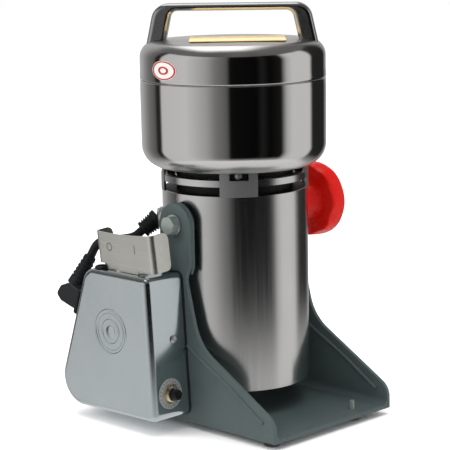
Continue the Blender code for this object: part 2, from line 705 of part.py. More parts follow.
def breaker():
    """Reset breaker: its body behind the front wall, a bushing through it and a push button."""
    front = empty("breaker_front", machine, (BREAKER_X, WALL_FRONT, BREAKER_Z))
    front.rotation_euler = (radians(90 - FRONT_SLOPE), 0, 0)
    body = [
        (0, -27 * MM),
        (9 * MM, -27 * MM),
        (9 * MM, -2.5 * MM),
        (6 * MM, -2.5 * MM),
        (6 * MM, 4.5 * MM),
        (4.8 * MM, 4.5 * MM),
        (4.8 * MM, -8 * MM),
        (0, -8 * MM),
    ]
    place("reset_breaker", turned("reset_breaker", body, 24), BRASS, front)
    button = [
        (0, -4.5 * MM),
        (4.4 * MM, -4.5 * MM),
        *arc((2.4 * MM, 7.5 * MM), 2.0 * MM, 0, 90, 3),
        (0, 9.5 * MM),
    ]
    place("reset_button", turned("reset_button", button, 24), BLACK, front)
    head = [(0, GAP), (3.2 * MM, GAP), (3.2 * MM, 0.9 * MM), (2.2 * MM, 1.7 * MM), (0, 2 * MM)]
    lift = (SCREW_Z - BREAKER_Z) * sin(radians(FRONT_SLOPE))
    at = (SCREW_X, WALL_FRONT + lift, SCREW_Z)
    lean = (radians(90 - FRONT_SLOPE), 0, 0)
    place("cover_screw", turned("cover_screw", head, 16), ZINC, machine, at, lean)


def toggle():
    """Toggle switch: body under the box's top, bushing through it, and a lever that leans to the rear."""
    block_low = (TOGGLE_X - 8 * MM, TOGGLE_Y - 14 * MM, BOX_TOP - 30 * MM)
    block_high = (TOGGLE_X + 8 * MM, TOGGLE_Y + 14 * MM, BOX_TOP - 2.5 * MM)
    body = place("toggle_switch", block("toggle_switch", block_low, block_high), BLACK, machine)
    join(body, shifted(rod("bushing", 6 * MM, -4 * MM, 7 * MM, 24), (TOGGLE_X, TOGGLE_Y, BOX_TOP)))
    cut(body, shifted(rod("bore", 4.4 * MM, -3 * MM, 9 * MM, 24), (TOGGLE_X, TOGGLE_Y, BOX_TOP)))
    axis = empty("toggle_axis", machine, (TOGGLE_X, TOGGLE_Y, BOX_TOP + 2 * MM))
    lever = [
        (0, -2.5 * MM),
        (2.2 * MM, -2.5 * MM),
        (2.2 * MM, 14 * MM),
        (3.2 * MM, 22 * MM),
        (2.6 * MM, 24.5 * MM),
        (0, 25.3 * MM),
    ]
    tilt = (radians(-TOGGLE_LEAN), 0, 0)
    place("toggle_lever", turned("toggle_lever", lever, 16), CHROME, axis, (0, 0, 0), tilt)


def toggle_guard():
    """Bent sheet screen round the toggle, leaning outwards, on a foot under the toggle's bushing."""
    half, bend, inside = GUARD_HALF, 4 * MM, 4 * MM - GUARD_SHEET
    corners = [
        (GUARD_DEPTH, -half, 0),
        (0, -half, bend),
        (0, half, bend),
        (GUARD_DEPTH, half, 0),
        (GUARD_DEPTH, half - GUARD_SHEET, 0),
        (GUARD_SHEET, half - GUARD_SHEET, inside),
        (GUARD_SHEET, GUARD_SHEET - half, inside),
        (GUARD_DEPTH, GUARD_SHEET - half, 0),
    ]
    wall = prism("toggle_guard", rounded(corners, 4), 0, GUARD_HEIGHT)
    at = (-GUARD_OUT, GUARD_Y, GUARD_BOTTOM)
    turn = (radians(-GUARD_ROLL), radians(-GUARD_TILT), 0)
    obj = place("toggle_guard", wall, SATIN, machine, at, turn)
    floor = BOX_TOP + GAP
    below = block("below", (-0.2, -0.1, floor - 0.05), (0, 0.1, floor))
    combine(obj, tool("cutter_guard_bottom", below, machine), "DIFFERENCE")
    neck_low = (-GUARD_OUT - 0.2 * MM, TOGGLE_Y - 11 * MM, floor)
    neck_high = (-GUARD_OUT + GUARD_SHEET, TOGGLE_Y + 11 * MM, GUARD_BOTTOM + 2 * MM)
    combine(obj, tool("addition_guard_neck", block("neck", neck_low, neck_high), machine), "UNION")
    foot_low = (-GUARD_OUT + GUARD_SHEET / 2, TOGGLE_Y - 11 * MM, floor)
    foot_high = (TOGGLE_X + 11 * MM, TOGGLE_Y + 11 * MM, floor + GUARD_SHEET)
    combine(obj, tool("addition_guard_foot", block("foot", foot_low, foot_high), machine), "UNION")
    bore = shifted(rod("bore", 6.3 * MM, -1 * MM, 4 * MM, 24), (TOGGLE_X, TOGGLE_Y, BOX_TOP))
    combine(obj, tool("cutter_guard_bore", bore, machine), "DIFFERENCE")
    notch = shifted(rod("notch", GUARD_NOTCH, -1 * MM, 5 * MM, 24), (GROMMET_X, GROMMET_Y, BOX_TOP))
    combine(obj, tool("cutter_guard_notch", notch, machine), "DIFFERENCE")


# Leads

def grommet():
    """Domed grommet where the mains lead enters the top of the box, open through its middle."""
    profile = [
        (3.6 * MM, -3 * MM),
        (4.5 * MM, -3 * MM),
        (4.5 * MM, GAP),
        (5.5 * MM, GAP),
        (5.4 * MM, 0.9 * MM),
        (4.8 * MM, 1.9 * MM),
        (3.6 * MM, 2.4 * MM),
    ]
    at = (GROMMET_X, GROMMET_Y, BOX_TOP)
    place("mains_grommet", turned("mains_grommet", profile, 24), RUBBER, machine, at)


def pointed(name, mesh, material, parent, start, towards):
    """A piece made along +Z, set at a point and turned to face another."""
    direction = Vector(towards) - Vector(start)
    return place(name, mesh, material, parent, start, direction.to_track_quat("Z", "Y").to_euler())


def ribbed(name, length, wide, narrow, ribs, depth):
    """A tapered boot with grooves, along +Z."""
    profile = [(0, 0), (wide, 0)]
    step = length * 0.7 / ribs
    for k in range(ribs):
        low = length * 0.25 + step * k
        radius = wide + (narrow - wide) * low / length
        profile += [(radius, low), (radius - depth, low + step * 0.15), (radius - depth, low + step * 0.5)]
        profile += [(radius + (narrow - wide) * 0.6 * step / length, low + step * 0.6)]
    profile += [(narrow, length), (0, length)]
    return turned(name, profile, 12)


def leads():
    """Motor lead: gland and boot on the tube, cable, and an angled connector on the box's rear wall."""
    out = Vector((cos(radians(MOTOR_GLAND_ANGLE)), sin(radians(MOTOR_GLAND_ANGLE)), 0))
    seat = out * (TUBE_RADIUS + GAP) + Vector((0, 0, MOTOR_GLAND_Z))
    gland = [
        (0, -6 * MM),
        (5 * MM, -6 * MM),
        (5 * MM, 1 * MM),
        (8.5 * MM, 1 * MM),
        (8.5 * MM, 4 * MM),
        (0, 4 * MM),
    ]
    pointed("motor_lead_gland", turned("motor_lead_gland", gland, 24), SATIN, grinder, seat, seat + out)
    boot_start = seat + out * (4 * MM + GAP)
    boot_end = boot_start + BOOT_LENGTH * (out + Vector((0, 0, -0.75))).normalized()
    boot_start = boot_start - Vector((0, 0, 0.5 * MM))
    boot = ribbed("motor_lead_boot", BOOT_LENGTH, 7.5 * MM, 4.6 * MM, 3, 1.0 * MM)
    boot = pointed("motor_lead_boot", boot, RUBBER, grinder, boot_start, boot_end)
    flat = block("flat", (-20 * MM, -20 * MM, -20 * MM), (20 * MM, 20 * MM, 4 * MM + GAP))
    combine(boot, placed_tool("cutter_boot", flat, grinder, seat, out), "DIFFERENCE")

    wall = empty("rear_wall", machine, (CONNECTOR_X, CONNECTOR_Y, CONNECTOR_Z))
    wall.rotation_euler = (radians(REAR_SLOPE), 0, 0)
    flange = block("lead_socket", (-13 * MM, GAP, -10.5 * MM), (13 * MM, 3 * MM, 11 * MM))
    socket = place("lead_socket", flange, BLACK, wall)
    join(socket, block("core", (-9 * MM, -14 * MM, -7 * MM), (9 * MM, 1 * MM, 7 * MM)))
    head_outline = rounded(
        [
            (3 * MM + GAP, -7.8 * MM, 0),
            (22.0 * MM, -9.1 * MM, 3 * MM),
            (28.6 * MM, -5.5 * MM, 3 * MM),
            (25.6 * MM, 3.0 * MM, 4 * MM),
            (18.5 * MM, 8.7 * MM, 2 * MM),
            (3 * MM + GAP, 8.7 * MM, 0),
        ],
        3,
    )
    head = prism("lead_connector", head_outline, -10.5 * MM, 10.5 * MM, "YZ")
    place("lead_connector", head, RUBBER, wall)
    neck_length = (Vector(NECK_TOP) - Vector(NECK_START)).length
    neck = ribbed("connector_boot", neck_length, 7.2 * MM, 4.9 * MM, 4, 0.7 * MM)
    neck = pointed("connector_boot", neck, RUBBER, machine, NECK_START, NECK_TOP)
    above = tool("cutter_neck", block("above", (-0.1, -0.1, -0.1), (0.1, 0.1, 8.7 * MM + GAP)), wall)
    combine(neck, above, "DIFFERENCE")

    start = Vector(boot_end) + (Vector(boot_end) - boot_start).normalized() * LEAD_END_GAP
    end = Vector(NECK_TOP) + (Vector(NECK_TOP) - Vector(NECK_START)).normalized() * LEAD_END_GAP
    guide = [start, *[Vector(p) for p in LEAD_POINTS], end]
    curve = bpy.data.curves.new("motor_lead", "CURVE")
    curve.dimensions = "3D"
    curve.bevel_depth = LEAD_DIAMETER / 2
    curve.bevel_resolution = 2
    curve.use_fill_caps = True
    spline = curve.splines.new("POLY")
    line = smooth_line(guide, 5)
    spline.points.add(len(line) - 1)
    for point, at in zip(spline.points, line):
        point.co = (*at, 1)
    curve.materials.append(RUBBER)
    obj = bpy.data.objects.new("motor_lead", curve)
    bpy.context.scene.collection.objects.link(obj)
    obj.parent = machine


def placed_tool(name, mesh, parent, start, direction):
    obj = tool(name, mesh, parent)
    obj.location = start
    obj.rotation_euler = Vector(direction).to_track_quat("Z", "Y").to_euler()
    return obj


def smooth_line(points, steps):
    """Points of a Catmull-Rom curve through the given ones."""
    first = points[0] * 2 - points[1]
    last = points[-1] * 2 - points[-2]
    padded = [first, *points, last]
    line = []
    for k in range(1, len(padded) - 2):
        a, b, c, d = padded[k - 1 : k + 3]
        for step in range(steps):
            t = step / steps
            square = (2 * a - 5 * b + 4 * c - d) * t**2
            cube = (3 * b - a - 3 * c + d) * t**3
            line.append(0.5 * (2 * b + (c - a) * t + square + cube))
    return [*line, points[-1]]


stand()
pivot()
knob()
tube()
motor()
fan()
bowl()
blades()
lid()
handle()
switch_box()
breaker()
toggle()
toggle_guard()
grommet()
leads()
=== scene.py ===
"""The looks of a tilting grain and herb mill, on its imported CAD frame. Metres, +Z up, -Y to the front."""

import json
from math import cos, pi, radians, sin, sqrt

import bmesh
import bpy
from mathutils import Matrix, Vector

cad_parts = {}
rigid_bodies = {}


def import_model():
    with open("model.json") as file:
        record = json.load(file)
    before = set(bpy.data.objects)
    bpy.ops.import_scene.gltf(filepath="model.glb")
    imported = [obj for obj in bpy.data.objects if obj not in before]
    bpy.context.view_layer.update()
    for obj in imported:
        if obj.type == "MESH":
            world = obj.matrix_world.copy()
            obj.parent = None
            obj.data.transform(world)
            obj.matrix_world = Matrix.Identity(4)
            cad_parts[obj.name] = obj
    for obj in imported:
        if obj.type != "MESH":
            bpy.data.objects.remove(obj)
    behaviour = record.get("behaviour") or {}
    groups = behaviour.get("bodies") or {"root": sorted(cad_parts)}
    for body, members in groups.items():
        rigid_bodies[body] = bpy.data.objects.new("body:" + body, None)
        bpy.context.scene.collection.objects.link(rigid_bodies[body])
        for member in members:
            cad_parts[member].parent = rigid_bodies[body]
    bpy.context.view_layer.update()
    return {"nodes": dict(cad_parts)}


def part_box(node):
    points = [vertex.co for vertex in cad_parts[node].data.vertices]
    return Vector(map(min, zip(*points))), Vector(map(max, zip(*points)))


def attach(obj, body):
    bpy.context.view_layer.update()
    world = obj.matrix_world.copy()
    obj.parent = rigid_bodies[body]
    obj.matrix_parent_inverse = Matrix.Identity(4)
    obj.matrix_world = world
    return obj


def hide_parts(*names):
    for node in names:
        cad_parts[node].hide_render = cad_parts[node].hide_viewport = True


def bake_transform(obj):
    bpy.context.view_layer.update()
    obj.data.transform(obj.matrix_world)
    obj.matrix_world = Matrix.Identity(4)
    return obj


MM = 0.001
SMOOTH_STEPS = 160  # sides of a large turned piece
SMALL_STEPS = 48  # sides of a small turned piece

for leftover in list(bpy.data.objects):
    bpy.data.objects.remove(leftover, do_unlink=True)
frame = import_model()


# Places and sizes, all from the frame


def middle(node):
    low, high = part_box(node)
    return (low + high) / 2


def span(node):
    low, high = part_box(node)
    return high - low


AXIS_X = middle("motor_tube").x
ON_AXIS = (AXIS_X, 0, 0)
TUBE_LOW, TUBE_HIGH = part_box("motor_tube")
TUBE_RADIUS = span("motor_tube").x / 2
BOWL_LOW, BOWL_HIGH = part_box("grinding_bowl")
BOWL_RADIUS = span("grinding_bowl").x / 2
LID_LOW, LID_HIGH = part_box("lid_shell")
HANDLE_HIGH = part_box("handle")[1]
PIVOT_Z = middle("pivot_washer").z
BASE_LOW, BASE_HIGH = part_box("base_plate")
BOX_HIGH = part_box("switch_box_cover")[1]
HALF_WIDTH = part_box("right_side_plate")[1].x - AXIS_X
SHEET = BASE_HIGH.z - BASE_LOW.z
TOWARDS_CAMERA = radians(-135.0)  # direction from the mill to the camera, in plan

# Shapes that several pieces share
BOWL_CORNER = 18 * MM
LID_SHOULDER = 12.5 * MM
LID_CROWN = 0.8 * MM  # how much the lid's middle stands above its shoulder
WALL = 2 * MM  # of the bowl and the lid
HANDLE_YAW = radians(-49)
LABEL_YAW = radians(-45)
EAR_RADIUS = 16.5 * MM
BOX_FACE = AXIS_X - 104.5 * MM
TAB_ANGLE, NOTCH_ANGLE, FIRST_TAB = 28.0, 15.0, -132.0  # degrees
LOWER_SLOT, UPPER_SLOT = 181.2 * MM, 193.5 * MM  # where the tube's two rows of slots begin
LEAD_RADIUS = 3.5 * MM


# Geometry helpers


def arc(centre, radius, start, end, steps):
    angles = [radians(start + (end - start) * k / steps) for k in range(steps + 1)]
    return [(centre[0] + radius * cos(a), centre[1] + radius * sin(a)) for a in angles]


def rounded(corners, steps=8):
    """A closed outline of corners (a, b, radius), each rounded by an arc."""
    points = []
    for k, (a, b, radius) in enumerate(corners):
        here = Vector((a, b))
        if radius == 0:
            points.append((a, b))
            continue
        before = (Vector(corners[k - 1][:2]) - here).normalized()
        after = (Vector(corners[(k + 1) % len(corners)][:2]) - here).normalized()
        half = before.angle(after) / 2
        reach = radius * cos(half) / sin(half)
        centre = here + (before + after).normalized() * (radius / sin(half))
        first = here + before * reach - centre
        sweep = first.angle_signed(here + after * reach - centre)
        for step in range(steps + 1):
            point = centre + Matrix.Rotation(-sweep * step / steps, 2) @ first
            points.append((point.x, point.y))
    return points


def mm(*points):
    """Points given in millimetres, in metres."""
    return [tuple(number * MM for number in point) for point in points]


def placed(name, data):
    obj = bpy.data.objects.new(name, data)
    bpy.context.scene.collection.objects.link(obj)
    return obj


def bridged(bm, rings):
    """Faces between each ring of vertices and the next."""
    for lower, upper in zip(rings, rings[1:]):
        for k in range(len(lower)):
            after = (k + 1) % len(lower)
            bm.faces.new([lower[k], lower[after], upper[after], upper[k]])


def rectangle(half, low, high, radius, steps=8):
    """A rounded rectangle, in millimetres, from its half width and its two heights."""
    return rounded(
        mm((-half, low, radius), (half, low, radius), (half, high, radius), (-half, high, radius)), steps
    )


def mesh_of(bm, name):
    bmesh.ops.remove_doubles(bm, verts=bm.verts, dist=1e-7)
    bmesh.ops.recalc_face_normals(bm, faces=bm.faces)
    mesh = bpy.data.meshes.new(name)
    bm.to_mesh(mesh)
    bm.free()
    return mesh


def turned(name, profile, steps=SMALL_STEPS):
    """A solid of revolution about Z from a closed (radius, height) outline."""
    bm = bmesh.new()
    rings = []
    for radius, height in profile:
        if radius < 1e-9:
            rings.append([bm.verts.new((0, 0, height))] * steps)
            continue
        angles = [2 * pi * k / steps for k in range(steps)]
        rings.append([bm.verts.new((radius * cos(a), radius * sin(a), height)) for a in angles])
    for lower, upper in zip(rings, rings[1:] + rings[:1]):
        for k in range(steps):
            corners = [lower[k], lower[(k + 1) % steps], upper[(k + 1) % steps], upper[k]]
            unique = list(dict.fromkeys(corners))
            if len(unique) > 2:
                bm.faces.new(unique)
    return mesh_of(bm, name)


def hexagon(corner, turn=0):
    angles = [radians(60 * k + turn) for k in range(6)]
    return [(corner * cos(a), corner * sin(a)) for a in angles]


def cylinder(name, radius, low, high, steps=SMALL_STEPS):
    """A cylinder about Z, in millimetres."""
    return turned(name, mm((0, low), (radius, low), (radius, high), (0, high)), steps)


def prism(name, outline, low, high, axes="XY"):
    """An outline extruded along the third axis."""
    place_point = {
        "XY": lambda a, b, c: (a, b, c),
        "YZ": lambda a, b, c: (c, a, b),
        "XZ": lambda a, b, c: (a, c, b),
    }[axes]
    bm = bmesh.new()
    face = bm.faces.new([bm.verts.new(place_point(a, b, low)) for a, b in outline])
    moved = bmesh.ops.extrude_face_region(bm, geom=[face])["geom"]
    shift = Vector(place_point(0, 0, high)) - Vector(place_point(0, 0, low))
    bmesh.ops.translate(bm, vec=shift, verts=[g for g in moved if isinstance(g, bmesh.types.BMVert)])
    return mesh_of(bm, name)


def slab(name, low, high):
    outline = [(low[0], low[1]), (high[0], low[1]), (high[0], high[1]), (low[0], high[1])]
    return prism(name, outline, low[2], high[2])


def piece(name, mesh, material, body, stands_for=(), slot=None, turn=None, at=None, smooth=35):
    """An object that rides on a body and may stand for CAD nodes."""
    mesh.materials.append(material)
    mesh.shade_smooth()
    mesh.set_sharp_from_angle(angle=radians(smooth))
    obj = placed(name, mesh)
    if turn is not None:
        obj.rotation_euler = turn
    if at is not None:
        obj.location = at
    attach(obj, body)
    if stands_for:
        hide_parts(*stands_for)
    return obj


def weighted(obj):
    """Shades flat faces flat beside their rounded edges."""
    made = obj.modifiers.new("weighted", "WEIGHTED_NORMAL")
    made.keep_sharp = True
    made.weight = 90


def bevel(obj, width, segments=3, angle=40):
    made = obj.modifiers.new("rounding", "BEVEL")
    made.width = width
    made.segments = segments
    made.limit_method = "ANGLE"
    made.angle_limit = radians(angle)
    weighted(obj)
    return obj


def tube_along(name, points, radius, sides=20):
    """A round tube through points, with flat ends."""
    bm = bmesh.new()
    rings = []
    normal = None
    for k, point in enumerate(points):
        ahead = points[min(k + 1, len(points) - 1)] - points[max(k - 1, 0)]
        ahead.normalize()
        if normal is None:
            normal = ahead.orthogonal().normalized()
        normal = (normal - ahead * normal.dot(ahead)).normalized()
        across = ahead.cross(normal)
        ring = []
        for side in range(sides):
            angle = 2 * pi * side / sides
            ring.append(bm.verts.new(point + radius * (cos(angle) * normal + sin(angle) * across)))
        rings.append(ring)
    bridged(bm, rings)
    bm.faces.new(rings[0])
    bm.faces.new(rings[-1])
    return mesh_of(bm, name)


def smooth_line(points, steps):
    """Points of a Catmull-Rom curve through the given ones."""
    padded = [points[0] * 2 - points[1], *points, points[-1] * 2 - points[-2]]
    line = []
    for k in range(1, len(padded) - 2):
        a, b, c, d = padded[k - 1 : k + 3]
        for step in range(steps):
            t = step / steps
            line.append(
                0.5 * (
                    2 * b + (c - a) * t + (2 * a - 5 * b + 4 * c - d) * t * t + (
                        3 * b - a - 3 * c + d
                    ) * t**3
                )
            )
    return [*line, points[-1]]


def joined(name, meshes):
    """One mesh of several."""
    bm = bmesh.new()
    for mesh in meshes:
        bm.from_mesh(mesh)
    made = bpy.data.meshes.new(name)
    bm.to_mesh(made)
    bm.free()
    return made


def shift(x, y, z):
    return Matrix.Translation((x, y, z))


def moved(mesh, matrix):
    mesh.transform(matrix)
    return mesh


def facing(start, direction):
    """The matrix that takes +Z to a direction and the origin to a start."""
    turn = Vector(direction).to_track_quat("Z", "Y").to_matrix().to_4x4()
    return Matrix.Translation(start) @ turn


def thickened(mesh, wall, offset=-1):
    """The mesh as a sheet with a wall, on its inner side unless an offset says otherwise."""
    holder = placed("holder", mesh)
    made = holder.modifiers.new("wall", "SOLIDIFY")
    made.thickness = wall
    made.offset = offset
    solid = bpy.data.meshes.new_from_object(holder.evaluated_get(bpy.context.evaluated_depsgraph_get()))
    bpy.data.objects.remove(holder)
    return solid


def cutter(name, mesh, obj):
    """Cuts a hidden mesh from an object by a Boolean that stays on it."""
    tool = placed(name, mesh)
    tool.hide_render = True
    tool.hide_viewport = True
    tool.display_type = "WIRE"
    made = obj.modifiers.new(name, "BOOLEAN")
    made.operation = "DIFFERENCE"
    made.object = tool
    if "weighted" in obj.modifiers:
        obj.modifiers.remove(obj.modifiers["weighted"])
        weighted(obj)
    return tool


# Materials


def new_material(name, rgb, roughness, metallic=0.0):
    made = bpy.data.materials.new(name)
    made.use_nodes = True
    shader = made.node_tree.nodes["Principled BSDF"]
    for socket, value in (("Base Color", (*rgb, 1.0)), ("Roughness", roughness), ("Metallic", metallic)):
        shader.inputs[socket].default_value = value
    return made, made.node_tree, shader


def node(tree, kind, values=(), **settings):
    """A shader node with some of its inputs and settings given."""
    made = tree.nodes.new("ShaderNode" + kind)
    for setting, value in settings.items():
        setattr(made, setting, value)
    for socket, value in dict(values).items():
        made.inputs[socket].default_value = value
    return made


def object_place(tree):
    return node(tree, "TexCoord").outputs["Object"]


def noise(tree, scale, stretch=(1, 1, 1), detail=4.0):
    """Noise in object space, its grain drawn out by small stretch factors."""
    mapping = node(tree, "Mapping", {"Scale": stretch})
    texture = node(tree, "TexNoise", {"Scale": scale, "Detail": detail})
    tree.links.new(object_place(tree), mapping.inputs["Vector"])
    tree.links.new(mapping.outputs["Vector"], texture.inputs["Vector"])
    return texture.outputs["Fac"]


def ranged(tree, value, start, end, low, high, **settings):
    """Maps a value between start and end onto a range from low to high."""
    limits = {"From Min": start, "From Max": end, "To Min": low, "To Max": high}
    made = node(tree, "MapRange", limits, **settings)
    tree.links.new(value, made.inputs["Value"])
    return made.outputs["Result"]


def spread(tree, value, low, high):
    """Maps a 0.3 to 0.7 noise value onto a range."""
    return ranged(tree, value, 0.3, 0.7, low, high)


def mixed(tree, value, first, second):
    made = node(tree, "Mix", data_type="RGBA")
    made.inputs[6].default_value = (*first, 1.0)
    made.inputs[7].default_value = (*second, 1.0)
    tree.links.new(value, made.inputs["Factor"])
    return made.outputs[2]


def bump(tree, shader, value, strength, distance):
    made = node(tree, "Bump", {"Strength": strength, "Distance": distance})
    tree.links.new(value, made.inputs["Height"])
    tree.links.new(made.outputs["Normal"], shader.inputs["Normal"])


def textured(
    name, rgb, other, roughness, metallic, grain, stretch=(1, 1, 1), relief=0.1, depth=0.1 * MM, blotch=25.0
):
    """A finish whose colour drifts between two tones, and whose roughness and relief follow its grain."""
    made, tree, shader = new_material(name, rgb, roughness[0], metallic)
    fine = noise(tree, grain, stretch)
    wide = noise(tree, blotch)
    tree.links.new(mixed(tree, spread(tree, wide, 0, 1), rgb, other), shader.inputs["Base Color"])
    tree.links.new(spread(tree, fine, *roughness), shader.inputs["Roughness"])
    bump(tree, shader, fine, relief, depth)
    return made


def satin_ended(name, rgb, polished_at, satin_at):
    """Polished steel that turns to a spun satin finish from one height to another."""
    made, tree, shader = new_material(name, rgb, 0.07, 1.0)
    split = node(tree, "SeparateXYZ")
    tree.links.new(object_place(tree), split.inputs["Vector"])
    level = ranged(tree, split.outputs["Z"], polished_at, satin_at, 0.08, 0.3)
    tree.links.new(level, shader.inputs["Roughness"])
    lines = noise(tree, 900.0, (0.02, 0.02, 1.0))
    bump(tree, shader, lines, 0.03, 0.02 * MM)
    return made


def dimmed(material, level):
    """The material with less mirror-like gloss."""
    material.node_tree.nodes["Principled BSDF"].inputs["Specular IOR Level"].default_value = level


PAINT = textured(
    "grey_paint", (0.064, 0.086, 0.085), (0.056, 0.076, 0.075), (0.34, 0.46), 0.0, 1400.0, relief=0.12
)
dimmed(PAINT, 0.3)
PAINT.node_tree.nodes["Principled BSDF"].inputs["Coat Weight"].default_value = 0.12
PAINT.node_tree.nodes["Principled BSDF"].inputs["Coat Roughness"].default_value = 0.25
BRUSHED = textured(
    "brushed_stainless", (0.76, 0.75, 0.74), (0.73, 0.72, 0.71), (0.19, 0.25), 1.0, 500.0, (1, 1, 0.02),
    0.015, 0.01 * MM,
)
POLISHED = satin_ended("bowl_stainless", (0.72, 0.705, 0.69), 214 * MM, 204 * MM)
LID_STEEL = satin_ended("lid_stainless", (0.72, 0.705, 0.69), LID_HIGH.z - 10.2 * MM, LID_HIGH.z - 1.2 * MM)
# Darker copy of the tube's brushed stainless for the tab faces: painted shade standing in for the bent-out
# tabs' duller reflection
SHADED_TAB_STEEL = textured(
    "tab_steel_painted_shade", (0.36, 0.36, 0.37), (0.33, 0.33, 0.34), (0.34, 0.42), 0.85, 500.0, (1, 1, 0.02), 0.02,
    0.01 * MM,
)
CHROME = textured(
    "chrome", (0.64, 0.69, 0.7), (0.6, 0.66, 0.68), (0.15, 0.2), 1.0, 300.0, relief=0.02, depth=0.02 * MM
)
CAST_CHROME = textured(
    "handle_chrome", (0.5, 0.5, 0.5), (0.44, 0.44, 0.44), (0.17, 0.27), 1.0, 400.0, relief=0.06,
    depth=0.03 * MM,
)
SATIN = textured(
    "satin_stainless", (0.78, 0.77, 0.71), (0.72, 0.71, 0.655), (0.26, 0.4), 1.0, 700.0, (1, 0.04, 1), 0.12,
    0.02 * MM,
)
ZINC = textured(
    "zinc_plate", (0.64, 0.69, 0.66), (0.55, 0.6, 0.57), (0.26, 0.42), 0.9, 500.0, relief=0.1,
    depth=0.03 * MM,
)
RED = textured("red_knob", (0.6, 0.006, 0.002), (0.5, 0.004, 0.001), (0.22, 0.3), 0.0, 150.0, relief=0.04)
dimmed(RED, 0.22)
RUBBER = textured(
    "black_rubber", (0.004, 0.005, 0.006), (0.009, 0.01, 0.011), (0.3, 0.42), 0.0, 900.0, relief=0.15
)
BLACK = textured(
    "black_plastic", (0.004, 0.004, 0.005), (0.008, 0.008, 0.009), (0.16, 0.24), 0.0, 600.0, relief=0.1
)
dimmed(RUBBER, 0.4)
dimmed(BLACK, 0.25)
CASTING = textured(
    "black_casting", (0.006, 0.007, 0.008), (0.012, 0.013, 0.014), (0.4, 0.6), 0.3, 300.0, relief=0.3
)
NICKEL = textured(
    "nickelled_brass", (0.86, 0.78, 0.62), (0.8, 0.72, 0.56), (0.22, 0.34), 1.0, 500.0, relief=0.05
)
COPPER = textured("copper", (0.72, 0.33, 0.16), (0.6, 0.26, 0.12), (0.28, 0.42), 1.0, 700.0, (1, 1, 6), 0.3)
IRON = textured(
    "laminations", (0.28, 0.28, 0.29), (0.2, 0.2, 0.21), (0.4, 0.6), 1.0, 900.0, (0.02, 0.02, 3), 0.3
)
GOLD = textured("gold_foil", (0.96, 0.71, 0.36), (0.91, 0.67, 0.33), (0.3, 0.42), 0.0, 300.0, relief=0.05)
SILICONE = textured("silicone", (0.72, 0.72, 0.69), (0.66, 0.66, 0.63), (0.45, 0.6), 0.0, 400.0, relief=0.1)
PAPER = textured("label_paper", (0.64, 0.62, 0.59), (0.59, 0.57, 0.54), (0.35, 0.5), 0.0, 500.0, relief=0.05)
DIAL = textured("dial_foil", (0.3, 0.31, 0.29), (0.25, 0.26, 0.25), (0.3, 0.45), 0.2, 500.0, relief=0.05)
INK = textured("dark_ink", (0.05, 0.05, 0.055), (0.08, 0.08, 0.08), (0.4, 0.6), 0.0, 500.0, relief=0.05)
RED_INK = textured(
    "red_ink", (0.42, 0.008, 0.01), (0.36, 0.006, 0.008), (0.35, 0.5), 0.0, 500.0, relief=0.05
)
ETCHED = textured(
    "etched_steel", (0.16, 0.155, 0.15), (0.2, 0.19, 0.18), (0.45, 0.6), 0.8, 800.0, relief=0.1
)


# Camera, stage and light


def glowing(name, mesh):
    """A new material on the mesh whose surface glows: its tree, its emission and its output."""
    made = bpy.data.materials.new(name)
    made.use_nodes = True
    tree = made.node_tree
    tree.nodes.clear()
    mesh.materials.append(made)
    glow = node(tree, "Emission")
    out = node(tree, "OutputMaterial")
    tree.links.new(glow.outputs["Emission"], out.inputs["Surface"])
    return tree, glow, out


def camera():
    """A long lens at the front left, a little above the mill."""
    data = bpy.data.cameras.new("camera")
    obj = placed("camera", data)
    azimuth, pitch, roll = radians(44.977), radians(-10.274), radians(-0.965)
    forward = Vector((cos(azimuth) * cos(pitch), sin(azimuth) * cos(pitch), sin(pitch)))
    right = forward.cross(Vector((0, 0, 1))).normalized()
    up = right.cross(forward)
    right, up = right * cos(roll) + up * sin(roll), up * cos(roll) - right * sin(roll)
    matrix = Matrix((right, up, -forward)).transposed().to_4x4()
    matrix.translation = Vector((AXIS_X - 0.9457, -0.9449, 0.3917))
    obj.matrix_world = matrix
    data.lens = 137.0
    data.sensor_width = 36.0
    data.shift_x = -0.0233
    data.clip_end = 30.0
    bpy.context.scene.camera = obj


def floor():
    mesh = slab("floor", (-6, -6, -20 * MM), (6, 6, -0.2 * MM))
    obj = placed("floor", mesh)
    made, tree, shader = new_material("pale_floor", (0.98, 0.98, 0.98), 0.8)
    tree.links.new(
        mixed(tree, noise(tree, 3.0), (0.985, 0.985, 0.985), (0.975, 0.975, 0.975)),
        shader.inputs["Base Color"],
    )
    mesh.materials.append(made)
    obj.visible_glossy = False


TENT_BOTTOM, TENT_TOP = -1.6, 1.9

# Brightness round the mill, by degrees from the camera, positive to the camera's right
CARDS = (
    (-180, 0.55), (-146, 0.42), (-126, 0.2), (-112, 0.12), (-107, 0.02), (-101, 0.02),
    (-97, 0.62), (-60, 0.66), (-34, 0.42), (-22, 0.22), (-8, 0.12), (-4, 0.005),
    (28, 0.003), (35, 0.015), (44, 0.003), (60, 0.01), (68, 0.5), (76, 0.66),
    (106, 0.66), (112, 0.02), (146, 0.02), (160, 0.4), (180, 0.55),
)


def reflected_only(name, mesh):
    """A stage object that the camera and the floor don't see, only the mill's reflections."""
    obj = placed(name, mesh)
    obj.visible_camera = False
    obj.visible_shadow = False
    obj.visible_diffuse = False
    return obj


